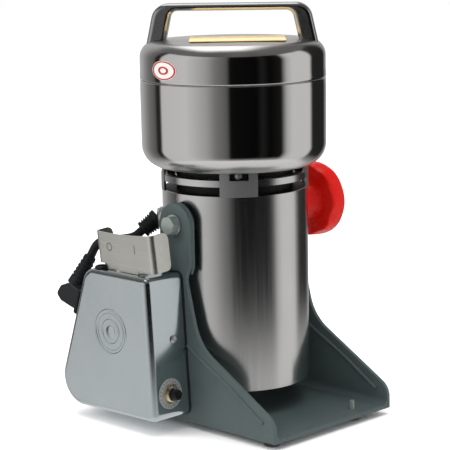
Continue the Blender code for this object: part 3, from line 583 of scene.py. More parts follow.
def overhead_card():
    """A soft card above and behind the mill, which lights the lid's shoulder."""
    half_x, half_y = 1.5, 0.75
    mesh = slab("overhead_card", (-half_x, -half_y, 0), (half_x, half_y, 0.01))
    obj = reflected_only("overhead_card", mesh)
    obj.rotation_euler = (0, 0, TOWARDS_CAMERA)
    obj.location = Matrix.Rotation(TOWARDS_CAMERA, 3, "Z") @ Vector((-0.9, -0.2, 1.85))
    tree, glow = glowing("overhead_glow", mesh)[:2]
    link = tree.links.new
    split = node(tree, "SeparateXYZ")
    link(object_place(tree), split.inputs["Vector"])
    both = node(tree, "Math", operation="MULTIPLY")
    for number, (axis, edge) in enumerate((("X", half_x), ("Y", half_y))):
        size = node(tree, "Math", operation="ABSOLUTE")
        link(split.outputs[axis], size.inputs[0])
        fade = ranged(tree, size.outputs["Value"], edge, edge * 0.3, 0, 1, interpolation_type="SMOOTHSTEP")
        link(fade, both.inputs[number])
    link(ranged(tree, both.outputs["Value"], 0, 1, 0.12, 1.9), glow.inputs["Strength"])


def tent_roof():
    """A dim roof that closes the tent, seen only in reflections."""
    mesh = slab("tent_roof", (-2.3, -2.3, 0), (2.3, 2.3, 0.01))
    obj = reflected_only("tent_roof", mesh)
    obj.location = (0, 0, TENT_TOP)
    tree, glow = glowing("roof_glow", mesh)[:2]
    tree.links.new(spread(tree, noise(tree, 0.8), 0.1, 0.16), glow.inputs["Strength"])


def floor_sheet():
    """The lit floor near the mill, as its polished pieces reflect it."""
    mesh = slab("floor_sheet", (-1.2, -1.2, -0.6 * MM), (1.2, 1.2, -0.3 * MM))
    reflected_only("floor_sheet", mesh)
    tree, glow, out = glowing("sheet_glow", mesh)
    link = tree.links.new
    glow.inputs["Strength"].default_value = 0.65
    reach = node(tree, "VectorMath", operation="LENGTH")
    link(object_place(tree), reach.inputs[0])
    fade = ranged(tree, reach.outputs["Value"], 0.1, 0.5, 0.55, 0.0, interpolation_type="SMOOTHSTEP")
    mix = node(tree, "MixShader")
    link(fade, mix.inputs["Fac"])
    link(node(tree, "BsdfTransparent").outputs["BSDF"], mix.inputs[1])
    link(glow.outputs["Emission"], mix.inputs[2])
    link(mix.outputs["Shader"], out.inputs["Surface"])


def light_tent():
    """Tall reflector cards round the mill, seen only in its reflections."""
    steps, radius = 144, 2.2
    bm = bmesh.new()
    rings = []
    for z in (TENT_BOTTOM, TENT_TOP):
        angles = [2 * pi * k / steps for k in range(steps)]
        rings.append([bm.verts.new((radius * cos(a), radius * sin(a), z)) for a in angles])
    for k in range(steps):
        after = (k + 1) % steps
        bm.faces.new([rings[0][after], rings[0][k], rings[1][k], rings[1][after]])
    mesh = bpy.data.meshes.new("light_tent")
    bm.to_mesh(mesh)
    bm.free()
    obj = reflected_only("light_tent", mesh)
    obj.rotation_euler = (0, 0, TOWARDS_CAMERA)
    tree, glow = glowing("reflector_cards", mesh)[:2]
    link = tree.links.new
    split = node(tree, "SeparateXYZ")
    angle = node(tree, "Math", operation="ARCTAN2")
    ramp = node(tree, "ValToRGB")
    link(object_place(tree), split.inputs["Vector"])
    link(split.outputs["Y"], angle.inputs[0])
    link(split.outputs["X"], angle.inputs[1])
    link(ranged(tree, angle.outputs["Value"], -pi, pi, 0, 1), ramp.inputs["Fac"])
    link(ramp.outputs["Color"], glow.inputs["Color"])
    points = ramp.color_ramp.elements
    points[0].position, points[0].color = 0.0, (CARDS[0][1],) * 3 + (1,)
    points[1].position, points[1].color = 1.0, (CARDS[-1][1],) * 3 + (1,)
    for degrees, brightness in CARDS[1:-1]:
        made_point = points.new((degrees + 180) / 360)
        made_point.color = (brightness, brightness, brightness, 1)


def lights():
    world = bpy.data.worlds.new("studio")
    world.use_nodes = True
    world.node_tree.nodes["Background"].inputs["Color"].default_value = (1, 1, 1, 1)
    world.node_tree.nodes["Background"].inputs["Strength"].default_value = 1.0
    bpy.context.scene.world = world
    bpy.context.scene.view_settings.view_transform = "Standard"
    for name, at, size, watts in (
        ("ceiling", (0.0, 0.0, 2.6), 2.6, 60.0),
        ("key", (-1.6, 0.9, 1.3), 0.9, 14.0),
    ):
        data = bpy.data.lights.new(name, "AREA")
        data.shape = "SQUARE"
        data.size = size
        data.energy = watts
        obj = placed(name, data)
        obj.location = at
        obj.rotation_euler = (Vector((0, 0, 0.15)) - Vector(at)).to_track_quat("-Z", "Y").to_euler()
        obj.visible_glossy = False


# Bowl and lid


def bowl():
    corner = (BOWL_RADIUS - BOWL_CORNER, BOWL_LOW.z + BOWL_CORNER - 1 * MM)
    recess = TUBE_RADIUS + 2.5 * MM
    floor_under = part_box("upper_end_bracket")[1].z + 0.5 * MM
    floor_top = floor_under + 4 * MM
    outside = [
        (9.3 * MM, floor_under), (recess - 1 * MM, floor_under), (recess, floor_under - 1 * MM),
        (recess, BOWL_LOW.z + 1 * MM), (recess + 0.4 * MM, BOWL_LOW.z + 0.3 * MM),
        *arc(corner, BOWL_CORNER, -68, 0, 20), (BOWL_RADIUS + 0.2 * MM, BOWL_HIGH.z - 6 * MM),
        (BOWL_RADIUS, BOWL_HIGH.z - 0.6 * MM), (BOWL_RADIUS - 0.5 * MM, BOWL_HIGH.z),
    ]
    inner = (BOWL_RADIUS - BOWL_CORNER, floor_top + BOWL_CORNER - WALL)
    inside = [
        (BOWL_RADIUS - WALL + 0.4 * MM, BOWL_HIGH.z), (BOWL_RADIUS - WALL, BOWL_HIGH.z - 0.5 * MM),
        *arc(inner, BOWL_CORNER - WALL, 0, -90, 14), (9.3 * MM, floor_top),
    ]
    mesh = turned("bowl", outside + inside, SMOOTH_STEPS)
    piece("bowl", mesh, POLISHED, "grinder", ["grinding_bowl"], "polished_stainless", at=ON_AXIS)


def lid():
    low, high = LID_LOW.z, LID_HIGH.z
    corner = (BOWL_RADIUS - LID_SHOULDER, high - LID_SHOULDER - LID_CROWN)
    outside = [
        (BOWL_RADIUS - 0.3 * MM, low), (BOWL_RADIUS + 0.15 * MM, low + 0.3 * MM),
        (BOWL_RADIUS + 0.25 * MM, low + 0.9 * MM), (BOWL_RADIUS + 0.2 * MM, low + 3.0 * MM),
        (BOWL_RADIUS, low + 8.0 * MM), *arc(corner, LID_SHOULDER, 0, 86, 18),
        (BOWL_RADIUS - LID_SHOULDER - 6 * MM, high - 0.5 * MM), (30 * MM, high - 0.1 * MM), (0, high),
    ]
    inside = [
        (0, high - WALL), (BOWL_RADIUS - LID_SHOULDER - 2 * MM, high - WALL - LID_CROWN),
        *arc(corner, LID_SHOULDER - WALL, 86, 0, 10), (BOWL_RADIUS - WALL, low),
    ]
    mesh = turned("lid_cover", outside + inside, SMOOTH_STEPS)
    piece("lid_cover", mesh, LID_STEEL, "lid", ["lid_shell"], "polished_stainless", at=ON_AXIS, smooth=50)


def seat_height(radius):
    """Height of the lid's outside at a radius from its axis."""
    centre = (BOWL_RADIUS - LID_SHOULDER, LID_HIGH.z - LID_SHOULDER - LID_CROWN)
    past = radius - centre[0]
    if past <= 0:
        return LID_HIGH.z - 0.4 * MM
    return centre[1] + sqrt(max(0.0, LID_SHOULDER**2 - past**2))


def handle():
    """Cast bail: a flat bar on two flared legs that stand on the lid's shoulder."""
    high, level = HANDLE_HIGH.z, LID_HIGH.z
    foot, shoulder, inner = 68 * MM, 60 * MM, 50 * MM
    outline = rounded(
        [
            (-foot, level - 9 * MM, 0), (-shoulder, high, 13 * MM), (shoulder, high, 13 * MM),
            (foot, level - 9 * MM, 0), (inner + 2 * MM, level - 1.5 * MM, 0),
            (inner - 3 * MM, high - 5.5 * MM, 6 * MM), (3 * MM - inner, high - 5.5 * MM, 6 * MM),
            (-inner - 2 * MM, level - 1.5 * MM, 0),
        ],
        12,
    )
    mesh = prism("bail", outline, -9 * MM, 9 * MM, "XZ")
    obj = piece("bail", mesh, CAST_CHROME, "lid", ["handle"], "chrome", turn=(0, 0, HANDLE_YAW), at=ON_AXIS)
    bevel(obj, 3.2 * MM, 5, 50)
    rim = BOWL_RADIUS + 0.1 * MM
    bulk = [(0, level - 40 * MM), (rim, level - 40 * MM)]
    for k in range(16):
        inward = LID_SHOULDER * (1 - cos(radians(6 * k)))
        bulk.append((rim - inward, seat_height(BOWL_RADIUS - inward)))
    bulk.append((0, level - 0.4 * MM))
    cutter("cutter_bail", moved(turned("lid_bulk", bulk, 96), shift(AXIS_X, 0, 0)), obj)


def labels():
    """Plain gold plate on the lid and an oval turn mark on its side."""
    low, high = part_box("lid_label")
    level = high.z
    centre = middle("lid_label")
    at, turn = (centre.x, centre.y, 0), (0, 0, LABEL_YAW)
    outline = rectangle(37, -25, 25, 2, 6)
    mesh = prism("lid_plate", outline, low.z - 0.1 * MM, level)
    obj = piece("lid_plate", mesh, GOLD, "lid", ["lid_label"], "gold_foil", turn=turn, at=at)
    bevel(obj, 0.2 * MM, 2)
    marks = []
    for y in (-22.5, 21.9):
        marks.append(slab("line", (-34 * MM, y * MM, level), (34 * MM, (y + 0.6) * MM, level + 0.05 * MM)))
    piece("lid_plate_border", joined("lid_plate_border", marks), INK, "lid", turn=turn, at=at)

    across, tall, centre = 13.4 * MM, 7.3 * MM, Vector((0, 0, 277.2 * MM))
    where = radians(178.7)

    def wrapped(name, outer, inner, lift, material):
        """An oval, or an oval ring, laid on the lid's side."""
        bm = bmesh.new()
        radius = BOWL_RADIUS + 0.15 * MM + lift
        rings = []
        for share in (inner, (inner + outer) / 2, outer):
            ring = []
            for k in range(64):
                a = 2 * pi * k / 64
                around = where + share * across * cos(a) / radius
                ring.append(
                    bm.verts.new(
                        (radius * cos(around), radius * sin(around), centre.z + share * tall * sin(a))
                    )
                )
            rings.append(ring)
        bridged(bm, rings)
        if inner < 0.2:
            bm.faces.new(rings[0])
        mesh = thickened(mesh_of(bm, name), 0.1 * MM, 1)
        piece(name, mesh, material, "lid", at=ON_AXIS)

    wrapped("side_sticker", 1.0, 0.05, 0.0, PAPER)
    wrapped("side_sticker_rim", 0.96, 0.84, 0.12 * MM, RED_INK)
    wrapped("side_sticker_dot", 0.42, 0.26, 0.12 * MM, RED_INK)


# Motor tube and what shows through its slots


def motor_tube():
    """The tube with its slots and forked tabs, laid out on a grid of angles and heights."""
    low, high = TUBE_LOW.z, TUBE_HIGH.z
    heights = [low, low + 0.8 * MM, 100 * MM, LOWER_SLOT, 188.5 * MM, UPPER_SLOT, high]
    steps = 360
    bm = bmesh.new()
    grid = []
    for z in heights:
        angles = [2 * pi * k / steps for k in range(steps)]
        grid.append([bm.verts.new((TUBE_RADIUS * cos(a), TUBE_RADIUS * sin(a), z)) for a in angles])
    for row in range(len(heights) - 1):
        for k in range(steps):
            away = abs((k + 0.5 - FIRST_TAB + 45) % 90 - 45)
            in_slot = away > TAB_ANGLE / 2 and heights[row] in (LOWER_SLOT, UPPER_SLOT)
            in_notch = away < NOTCH_ANGLE / 2 and heights[row] == UPPER_SLOT
            if in_slot or in_notch:
                continue
            after = (k + 1) % steps
            bm.faces.new([grid[row][k], grid[row][after], grid[row + 1][after], grid[row + 1][k]])
    loose = [v for v in bm.verts if not v.link_faces]
    bmesh.ops.delete(bm, geom=loose, context="VERTS")
    mesh = thickened(mesh_of(bm, "tube"), 1.5 * MM)
    piece("tube", mesh, BRUSHED, "grinder", ["motor_tube"], "brushed_stainless", at=ON_AXIS)
    for quarter in range(4):
        turn = FIRST_TAB + 90 * quarter
        around = radians(turn)
        out = Vector((cos(around), sin(around), 0))
        seat = Vector((AXIS_X, 0, 196.6 * MM)) + out * (TUBE_RADIUS - 4.5 * MM)
        screw = mm((0, 0), (2.9, 0), (3.1, 0.6), (2.6, 1.8), (1.2, 2.3), (0, 2.3))
        head = moved(turned("tab_screw", screw, 24), facing(seat, out))
        piece(f"tab_screw_{quarter}", head, ZINC, "grinder")
        lug = prism("lug", rectangle(6.3, -4.2, 4.4, 1), -6 * MM, 0)
        piece(f"bracket_lug_{quarter}", moved(lug, facing(seat, out)), CASTING, "grinder")
        for part, (start, end, foot, top) in enumerate(
            ((-14.6, 14.6, 180.7, 193.5), (-14.6, -7.5, 193.5, 201.3), (7.5, 14.6, 193.5, 201.3))
        ):
            face = arc((0, 0), TUBE_RADIUS + 0.45 * MM, turn + start, turn + end, 24)
            face += arc((0, 0), TUBE_RADIUS + 0.05 * MM, turn + end, turn + start, 24)
            mesh = prism("tab_face", face, foot * MM, top * MM)
            # The tab faces wear the darker steel copy, which is painted shade for their different reflection
            piece(f"tab_face_{quarter}_{part}", mesh, SHADED_TAB_STEEL, "grinder", at=ON_AXIS, smooth=40)
    ring = mm((47.5, 189.5), (55.6, 189.5), (55.6, 191.6), (54, 193.2), (49, 193.2), (47.5, 192))
    mesh = turned("clamp_ring", ring, SMOOTH_STEPS)
    piece("clamp_ring", mesh, SATIN, "grinder", ["bowl_clamp_ring"], "satin_stainless", at=ON_AXIS)
    collar = mm((36, 184), (46, 184), (46, 195), (50, 196), (50, 199), (46, 200), (46, 203.4), (36, 203.4))
    piece("bracket_collar", turned("bracket_collar", collar, SMOOTH_STEPS), CASTING, "grinder", at=ON_AXIS)


# Stand


def plate_outline():
    reach, foot = -BASE_LOW.y, BASE_LOW.z
    front = rounded(
        [
            (-reach, foot, 0), (-reach, 22 * MM, 14 * MM),
            *mm((-76, 38, 60), (-24, 68, 38), (-11, 119, 12)), (-EAR_RADIUS, 127 * MM, 5 * MM),
            (-EAR_RADIUS, PIVOT_Z, 0), (0, PIVOT_Z, 0),
        ],
        12,
    )[:-2]
    rear = [(-y, z) for y, z in reversed(front)]
    return front + arc((0, PIVOT_Z), EAR_RADIUS, 180, 0, 40) + rear


def stand():
    paint = {"body": "stand", "slot": "grey_paint"}
    mesh = slab(
        "floor_plate", (AXIS_X - HALF_WIDTH + 2 * MM, BASE_LOW.y, BASE_LOW.z),
        (AXIS_X + HALF_WIDTH - 2 * MM, BASE_HIGH.y, BASE_HIGH.z),
    )
    bevel(piece("floor_plate", mesh, PAINT, stands_for=["base_plate"], **paint), 0.5 * MM, 3)
    for side, name in ((-1, "left"), (1, "right")):
        outer = AXIS_X + side * HALF_WIDTH
        inner = outer - side * SHEET
        mesh = prism(f"{name}_plate", plate_outline(), min(outer, inner), max(outer, inner), "YZ")
        obj = piece(f"{name}_plate", mesh, PAINT, stands_for=[f"{name}_side_plate"], **paint)
        bevel(obj, 0.6 * MM, 3, 50)
        wall, start = 3.0 * MM, 121 * MM
        rim = [(-EAR_RADIUS, start), *arc((0, PIVOT_Z), EAR_RADIUS, 180, 0, 40), (EAR_RADIUS, start)]
        rim += [
            (EAR_RADIUS - wall, start), *arc((0, PIVOT_Z), EAR_RADIUS - wall, 0, 180, 40),
            (-EAR_RADIUS + wall, start),
        ]
        rim_end = outer - side * 6 * MM
        mesh = prism(f"{name}_ear_rim", rim, min(rim_end, inner), max(rim_end, inner), "YZ")
        for vertex in mesh.vertices:
            if abs(vertex.co.x - rim_end) < 0.01 * MM and vertex.co.z < start + MM:
                vertex.co.z += 6 * MM
        bevel(piece(f"{name}_ear_rim", mesh, PAINT, **paint), 0.8 * MM, 3, 50)
        for end, tag in ((-1, "front"), (1, "rear")):
            route = [(12, 66), (21, 60), (31, 54.5), (59, 39.5), (87, 22), (92, 19.5)]
            points = [Vector((inner, end * y * MM, z * MM)) for y, z in route]
            ridge = tube_along("bead", smooth_line(points, 8), 1.5 * MM, 16)
            outside = tube_along(
                "bead", smooth_line([p + Vector((side * SHEET, 0, 0)) for p in points], 8), 1.3 * MM, 16
            )
            piece(f"{name}_bead_{tag}", joined("bead", [ridge, outside]), PAINT, **paint)
        fillet_radius = 5 * MM
        corner = [(0, 0), *arc((fillet_radius, fillet_radius), fillet_radius, -90, -180, 10)]
        outline = [(inner - side * a, BASE_HIGH.z + b) for a, b in corner]
        mesh = prism(f"{name}_bend", outline, BASE_LOW.y + 0.3 * MM, BASE_HIGH.y - 0.3 * MM, "XZ")
        piece(f"{name}_bend", mesh, PAINT, **paint)


def feet():
    for end in ("front", "rear"):
        for side in ("left", "right"):
            node = f"foot_{end}_{side}"
            centre = middle(node)
            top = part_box(node)[1].z
            profile = [
                *mm((0, 1.2), (3.6, 1.2), (3.6, 0.1), (5.6, 0), (6.7, 0.3), (7.4, 1.4)),
                (7.5 * MM, top - 0.6 * MM), (7.0 * MM, top), (0, top),
            ]
            at = (centre.x, centre.y, 0)
            piece(f"pad_{end}_{side}", turned("pad", profile), RUBBER, "stand", [node], "rubber", at=at)
            node = f"foot_screw_{end}_{side}"
            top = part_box(node)[1].z
            shank = mm((0, 2), (2, 2))
            pitch = 0.7 * MM
            for k in range(int((top - 0.8 * MM - BASE_HIGH.z) / pitch)):
                shank += [(2.1 * MM, BASE_HIGH.z + k * pitch), (1.85 * MM, BASE_HIGH.z + (k + 0.5) * pitch)]
            shank += [(2.1 * MM, top - 0.8 * MM), (1.5 * MM, top), (0, top)]
            piece(f"stud_{end}_{side}", turned("shank", shank, 24), ZINC, "stand", [node], "zinc", at=at)


# Pivot and knob


def pivot():
    washer_low, washer_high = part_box("pivot_washer")
    head_face, head_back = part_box("pivot_bolt")[0].x, washer_low.x - 0.3 * MM
    flat = 6.5 * MM
    corner = flat / cos(radians(30))
    head = prism("head", hexagon(corner, 12), 0, head_back - head_face)
    to_left = facing((head_back, 0, PIVOT_Z), (-1, 0, 0))
    obj = piece("bolt_head", moved(head, to_left), ZINC, "grinder", ["pivot_bolt"], "zinc")
    rim = mm((7.6, -1), (20, -1), (20, 12), (6.4, 12), (6.4, 5.5), (7.6, 4.6))
    chamfer = turned("chamfer", rim, 48)
    cutter("cutter_bolt_head", moved(chamfer, to_left), obj)
    shank = cylinder("shank", 4, 0, 24, 32)
    piece("bolt_shank", moved(shank, facing((head_back, 0, PIVOT_Z), (1, 0, 0))), ZINC, "grinder")
    ring = mm((4.3, 0), (7.8, 0), (8.0, 0.3), (8.0, 1.3), (7.8, 1.6), (4.3, 1.6))
    washer = moved(turned("washer", ring), facing((washer_high.x, 0, PIVOT_Z), (-1, 0, 0)))
    piece("bolt_washer", washer, ZINC, "grinder", ["pivot_washer"], "zinc")


def knob():
    """Lobed knob with a crowned face, on a hub."""
    low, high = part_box("clamp_knob")
    radius = span("clamp_knob").z / 2
    rise, lobes, steps = 1.5 * MM, 8, 256
    depth = high.x - low.x
    near = depth - 15.5 * MM
    sections = [
        (0.0, 0.42, 0.0), (0.1 * near, 0.43, 0.0), (near * 0.8, 0.45, 0.0), (near, 0.62, 0.2),
        (near + 0.4 * MM, 0.93, 0.9), (near + 1.0 * MM, 0.965, 1.0), (near + 2.4 * MM, 0.98, 0.9),
        (near + 9.0 * MM, 1.0, 0.35), (depth - 2.6 * MM, 1.0, 0.2), (depth - 1.4 * MM, 0.985, 0.2),
        (depth - 0.7 * MM, 0.95, 0.2), (depth - 0.5 * MM, 0.9, 0.2), (depth - 0.9 * MM, 0.86, 0.1),
        (depth - 1.0 * MM, 0.5, 0.0), (depth - 0.3 * MM, 0.3, 0.0), (depth, 0.22, 0.0),
    ]
    bm = bmesh.new()
    rings = []
    for height, share, wave in sections:
        ring = []
        for k in range(steps):
            a = 2 * pi * k / steps
            r = share * radius - rise * wave * abs(sin(lobes * a / 2)) ** 3
            ring.append(bm.verts.new((r * cos(a), r * sin(a), height)))
        rings.append(ring)
    bridged(bm, rings)
    bm.faces.new(rings[0])
    bm.faces.new(rings[-1])
    mesh = moved(mesh_of(bm, "knob"), facing((low.x, 0, PIVOT_Z), (1, 0, 0)))
    piece("knob", mesh, RED, "knob", ["clamp_knob"], "red_plastic", smooth=60)


# Switch box


BOX_CORNERS = (
    (-7.7 * MM, BOX_HIGH.z, 5 * MM),
    (64.3 * MM, BOX_HIGH.z, 12 * MM),
    (104.1 * MM, 9.2 * MM, 22 * MM),
    (-14.5 * MM, 11.6 * MM, 6 * MM),
)


def box_outline(inset=0.0):
    """(y, z) outline of the switch box, with each side moved inward by an inset."""
    corners = []
    for k, (y, z, radius) in enumerate(BOX_CORNERS):
        here = Vector((y, z))
        before = (Vector(BOX_CORNERS[k - 1][:2]) - here).normalized()
        after = (Vector(BOX_CORNERS[(k + 1) % len(BOX_CORNERS)][:2]) - here).normalized()
        inward = (before + after).normalized()
        point = here + inward * inset / sin(before.angle(after) / 2)
        corners.append((point.x, point.y, max(1 * MM, radius - inset)))
    return rounded(corners, 14)


FRONT_SLOPE = 3.5
BREAKER = Vector((AXIS_X - 87 * MM, -13.3 * MM, 32 * MM))


def out_of_front(distance=0.0):
    """The matrix from +Z to straight out of the box's front wall at the breaker."""
    direction = Vector((0, -cos(radians(FRONT_SLOPE)), sin(radians(FRONT_SLOPE))))
    return facing(BREAKER + direction * distance, direction)


def switch_box():
    rear = BOX_HIGH.x
    bm = bmesh.new()
    outline = box_outline()
    front = [bm.verts.new((BOX_FACE, y, z)) for y, z in outline]
    back = [bm.verts.new((rear, y, z)) for y, z in outline]
    cap = bm.faces.new(front)
    for k in range(len(outline)):
        after = (k + 1) % len(outline)
        bm.faces.new([front[after], front[k], back[k], back[after]])
    bmesh.ops.recalc_face_normals(bm, faces=bm.faces)
    bmesh.ops.bevel(bm, geom=list(cap.edges), offset=5.0 * MM, segments=7, profile=0.5, affect="EDGES")
    mesh = thickened(mesh_of(bm, "box_cover"), 1.3 * MM)
    obj = piece("box_cover", mesh, CHROME, "stand", ["switch_box_cover"], "chrome", smooth=60)
    weighted(obj)
    hole = cylinder("hole", 6.5, -6, 6, 40)
    cutter("cutter_box_front", moved(hole, out_of_front()), obj)
    toggle = middle("toggle_lever")
    hole = cylinder("hole", 6.3, -6, 6, 40)
    cutter("cutter_box_top", moved(hole, shift(toggle.x, 22 * MM, BOX_HIGH.z)), obj)

    rings = []
    for radius, width, rise in ((17.4, 0.9, 0.5), (14.6, 0.5, 0.3), (9.6, 0.8, 0.4)):
        angles = [radians(a) for a in range(0, 181, 20)]
        bead = [(radius * MM + width * MM * cos(a), rise * MM * sin(a)) for a in angles]
        rings.append(
            turned(
                "ring", [*bead, ((radius - width) * MM, -0.4 * MM), ((radius + width) * MM, -0.4 * MM)], 96
            )
        )
    dome = [(5.2 * MM * cos(radians(a)), 0.7 * MM * sin(radians(a))) for a in range(0, 91, 10)]
    rings.append(turned("dome", [(0, -0.4 * MM), (5.2 * MM, -0.4 * MM), *dome[:-1], (0, 0.7 * MM)], 64))
    emblem = moved(joined("embossed_rings", rings), facing((BOX_FACE, 34 * MM, 76 * MM), (-1, 0, 0)))
    piece("embossed_rings", emblem, CHROME, "stand", slot="chrome", smooth=60)

    low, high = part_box("switch_box_gasket")
    mesh = prism("box_gasket", box_outline(-0.9 * MM), low.x, high.x, "YZ")
    bevel(piece("box_gasket", mesh, RUBBER, "stand", ["switch_box_gasket"], "rubber"), 0.3 * MM, 2)


def breaker():
    """Nickelled bushing and nut, black button and a plain graduated ring round them."""
    thread = mm((4.8, 0), (5.9, 0))
    for k in range(6):
        thread += [(6.0 * MM, (1.6 + 0.5 * k) * MM), (5.6 * MM, (1.85 + 0.5 * k) * MM)]
    thread += mm((5.6, 4.5), (4.8, 4.5))
    hex_ring = prism("hex", hexagon(8.2 * MM), 0.35 * MM, 2.0 * MM)
    mesh = joined("breaker_bushing", [turned("thread", thread, 40), hex_ring])
    body = turned(
        "body", mm((0, -27), (9, -27), (9, -2.5), (6, -2.5), (6, 0), (4.8, 0), (4.8, -8), (0, -8)), 40
    )
    mesh = joined("breaker_bushing", [mesh, body])
    piece("breaker_bushing", moved(mesh, out_of_front()), NICKEL, "stand", ["reset_breaker"], "brass")
    button = [
        *mm((0, -4.5), (4.3, -4.5), (4.3, 3)), *arc((2.9 * MM, 8.1 * MM), 1.4 * MM, 0, 90, 6), (0, 9.6 * MM)
    ]
    piece(
        "button_cap", moved(turned("button_cap", button, 40), out_of_front()), BLACK, "button",
        ["reset_button"], "black_plastic",
    )
    ring = mm((6.8, 0.02), (11.8, 0.02), (11.8, 0.3), (6.8, 0.3))
    piece("breaker_dial", moved(turned("breaker_dial", ring, 64), out_of_front()), DIAL, "stand")
    ticks = []
    for k in range(20):
        tick = slab("tick", *mm((9.2, -0.22, 0.3), (11.0, 0.22, 0.36)))
        ticks.append(moved(tick, Matrix.Rotation(2 * pi * k / 20, 4, "Z")))
    piece("breaker_ticks", moved(joined("breaker_ticks", ticks), out_of_front()), INK, "stand")
    screw_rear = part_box("cover_screw")[1].y
    centre = middle("cover_screw")
    screw_seat = facing((centre.x, screw_rear, centre.z), (0, -1, 0.06))
    head = mm((0, 0.1), (3.2, 0.1), (3.1, 0.8), (2.2, 1.5), (1.0, 1.8), (0, 1.8))
    screw = moved(turned("round_screw", head, 32), screw_seat)
    obj = piece("round_screw", screw, ZINC, "stand", ["cover_screw"], "zinc")
    slot = moved(slab("slot", *mm((-4, -0.4, 1.1), (4, 0.4, 4))), screw_seat)
    cutter("cutter_round_screw", slot, obj)


def guard():
    """Bent screen round the toggle: hollowed top edge, round free corners, and on and off marks."""
    sheet, half, depth, height, bend = 1.2 * MM, 31.6 * MM, 17.5 * MM, 29.8 * MM, 3.4 * MM
    face = 0.6 * MM
    place = shift(AXIS_X - 95 * MM, 24 * MM, 123.8 * MM)
    place = place @ Matrix.Rotation(radians(-4.6), 4, "Y") @ Matrix.Rotation(radians(-2.6), 4, "X")
    path = [(depth, -half), *arc((face + bend, -half + bend), bend, -90, -180, 10)]
    path += [*arc((face + bend, half - bend), bend, 180, 90, 10), (depth, half)]
    dense = []
    for (ax, ay), (bx, by) in zip(path, path[1:]):
        count = max(1, round(sqrt((bx - ax) ** 2 + (by - ay) ** 2) / (0.8 * MM)))
        dense += [(ax + (bx - ax) * k / count, ay + (by - ay) * k / count) for k in range(count)]
    dense.append(path[-1])
    bm = bmesh.new()
    columns = []
    for x, y in dense:
        top_round, low_round = 6 * MM, 4 * MM
        past_top = max(0.0, x - depth + top_round)
        past_low = max(0.0, x - depth + low_round)
        top = height - 1.3 * MM * (1 - (y / half) ** 2)
        top -= top_round - sqrt(max(0.0, top_round**2 - past_top**2))
        bottom = 0.6 * MM * max(0.0, y / half)
        bottom += low_round - sqrt(max(0.0, low_round**2 - past_low**2))
        columns.append([bm.verts.new((x, y, bottom + (top - bottom) * k / 6)) for k in range(7)])
    for before, after in zip(columns, columns[1:]):
        for k in range(6):
            bm.faces.new([before[k], after[k], after[k + 1], before[k + 1]])
    mesh = moved(thickened(mesh_of(bm, "toggle_screen"), sheet, 0), place)
    obj = piece("toggle_screen", mesh, SATIN, "stand", ["toggle_guard"], "satin_stainless", smooth=45)
    grommet_place = middle("mains_grommet")
    notch = cylinder("notch", 6.8, -2, 4.6)
    cutter("cutter_screen_notch", moved(notch, shift(grommet_place.x, grommet_place.y, BOX_HIGH.z)), obj)
    bevel(obj, 0.25 * MM, 2, 60)
    floor_z = BOX_HIGH.z + 0.3 * MM
    foot = slab("foot", (-94.4 * MM, 11 * MM, floor_z), (-75 * MM, 33 * MM, floor_z + sheet))
    neck = slab("neck", (-95.2 * MM, 11 * MM, floor_z), (-94.0 * MM, 33 * MM, floor_z + 3 * MM))
    mesh = moved(joined("screen_foot", [foot, neck]), shift(AXIS_X, 0, 0))
    piece("screen_foot", mesh, SATIN, "stand")
    letter_o = turned("o", mm((2.5, 0), (3.2, 0), (3.2, 0.06), (2.5, 0.06)))
    letter_o = moved(letter_o, facing((0, 17 * MM, 18 * MM), (-1, 0, 0)))
    letter_i = slab("i", *mm((-0.06, -12.4, 14.5), (0, -11.7, 21.5)))
    piece("switch_marks", moved(joined("switch_marks", [letter_o, letter_i]), place), ETCHED, "stand")


def toggle():
    x, y, top = middle("toggle_switch").x, 22 * MM, BOX_HIGH.z
    ring = prism("nut", hexagon(8.4 * MM), 1.6 * MM, 3.6 * MM)
    thread = mm((4.4, 0), (5.9, 0))
    for k in range(8):
        thread += [(6.0 * MM, (2.2 + 0.55 * k) * MM), (5.6 * MM, (2.45 + 0.55 * k) * MM)]
    thread += mm((5.6, 7), (4.4, 7))
    mesh = moved(joined("toggle_bushing", [ring, turned("thread", thread, 40)]), shift(x, y, top))
    piece("toggle_bushing", mesh, ZINC, "stand")
    lever = [
        *mm((0, -2.5), (2.1, -2.5), (1.8, 4), (2.0, 12), (3.0, 21)), *arc((0, 22.3 * MM), 3.0 * MM, 0, 90, 8)
    ]
    matrix = shift(x, y, top + 2 * MM) @ Matrix.Rotation(radians(-15), 4, "X")
    piece(
        "bat_lever", moved(turned("bat_lever", lever, 40), matrix), CHROME, "toggle", ["toggle_lever"],
        "chrome", smooth=60,
    )


# Leads


def ribbed_profile(length, wide, narrow, ribs, depth):
    profile = [(0, 0), (wide - 0.5 * MM, 0), (wide, 0.5 * MM)]
    step = length * 0.66 / ribs
    for k in range(ribs):
        low = length * 0.26 + step * k
        radius = wide + (narrow - wide) * low / length
        after = wide + (narrow - wide) * (low + step * 0.5) / length
        profile += [
            (radius, low), (radius - depth, low + step * 0.08), (radius - depth, low + step * 0.42),
            (after, low + step * 0.5),
        ]
    return [*profile, (narrow, length - 0.6 * MM), (narrow - 0.5 * MM, length), (0, length)]


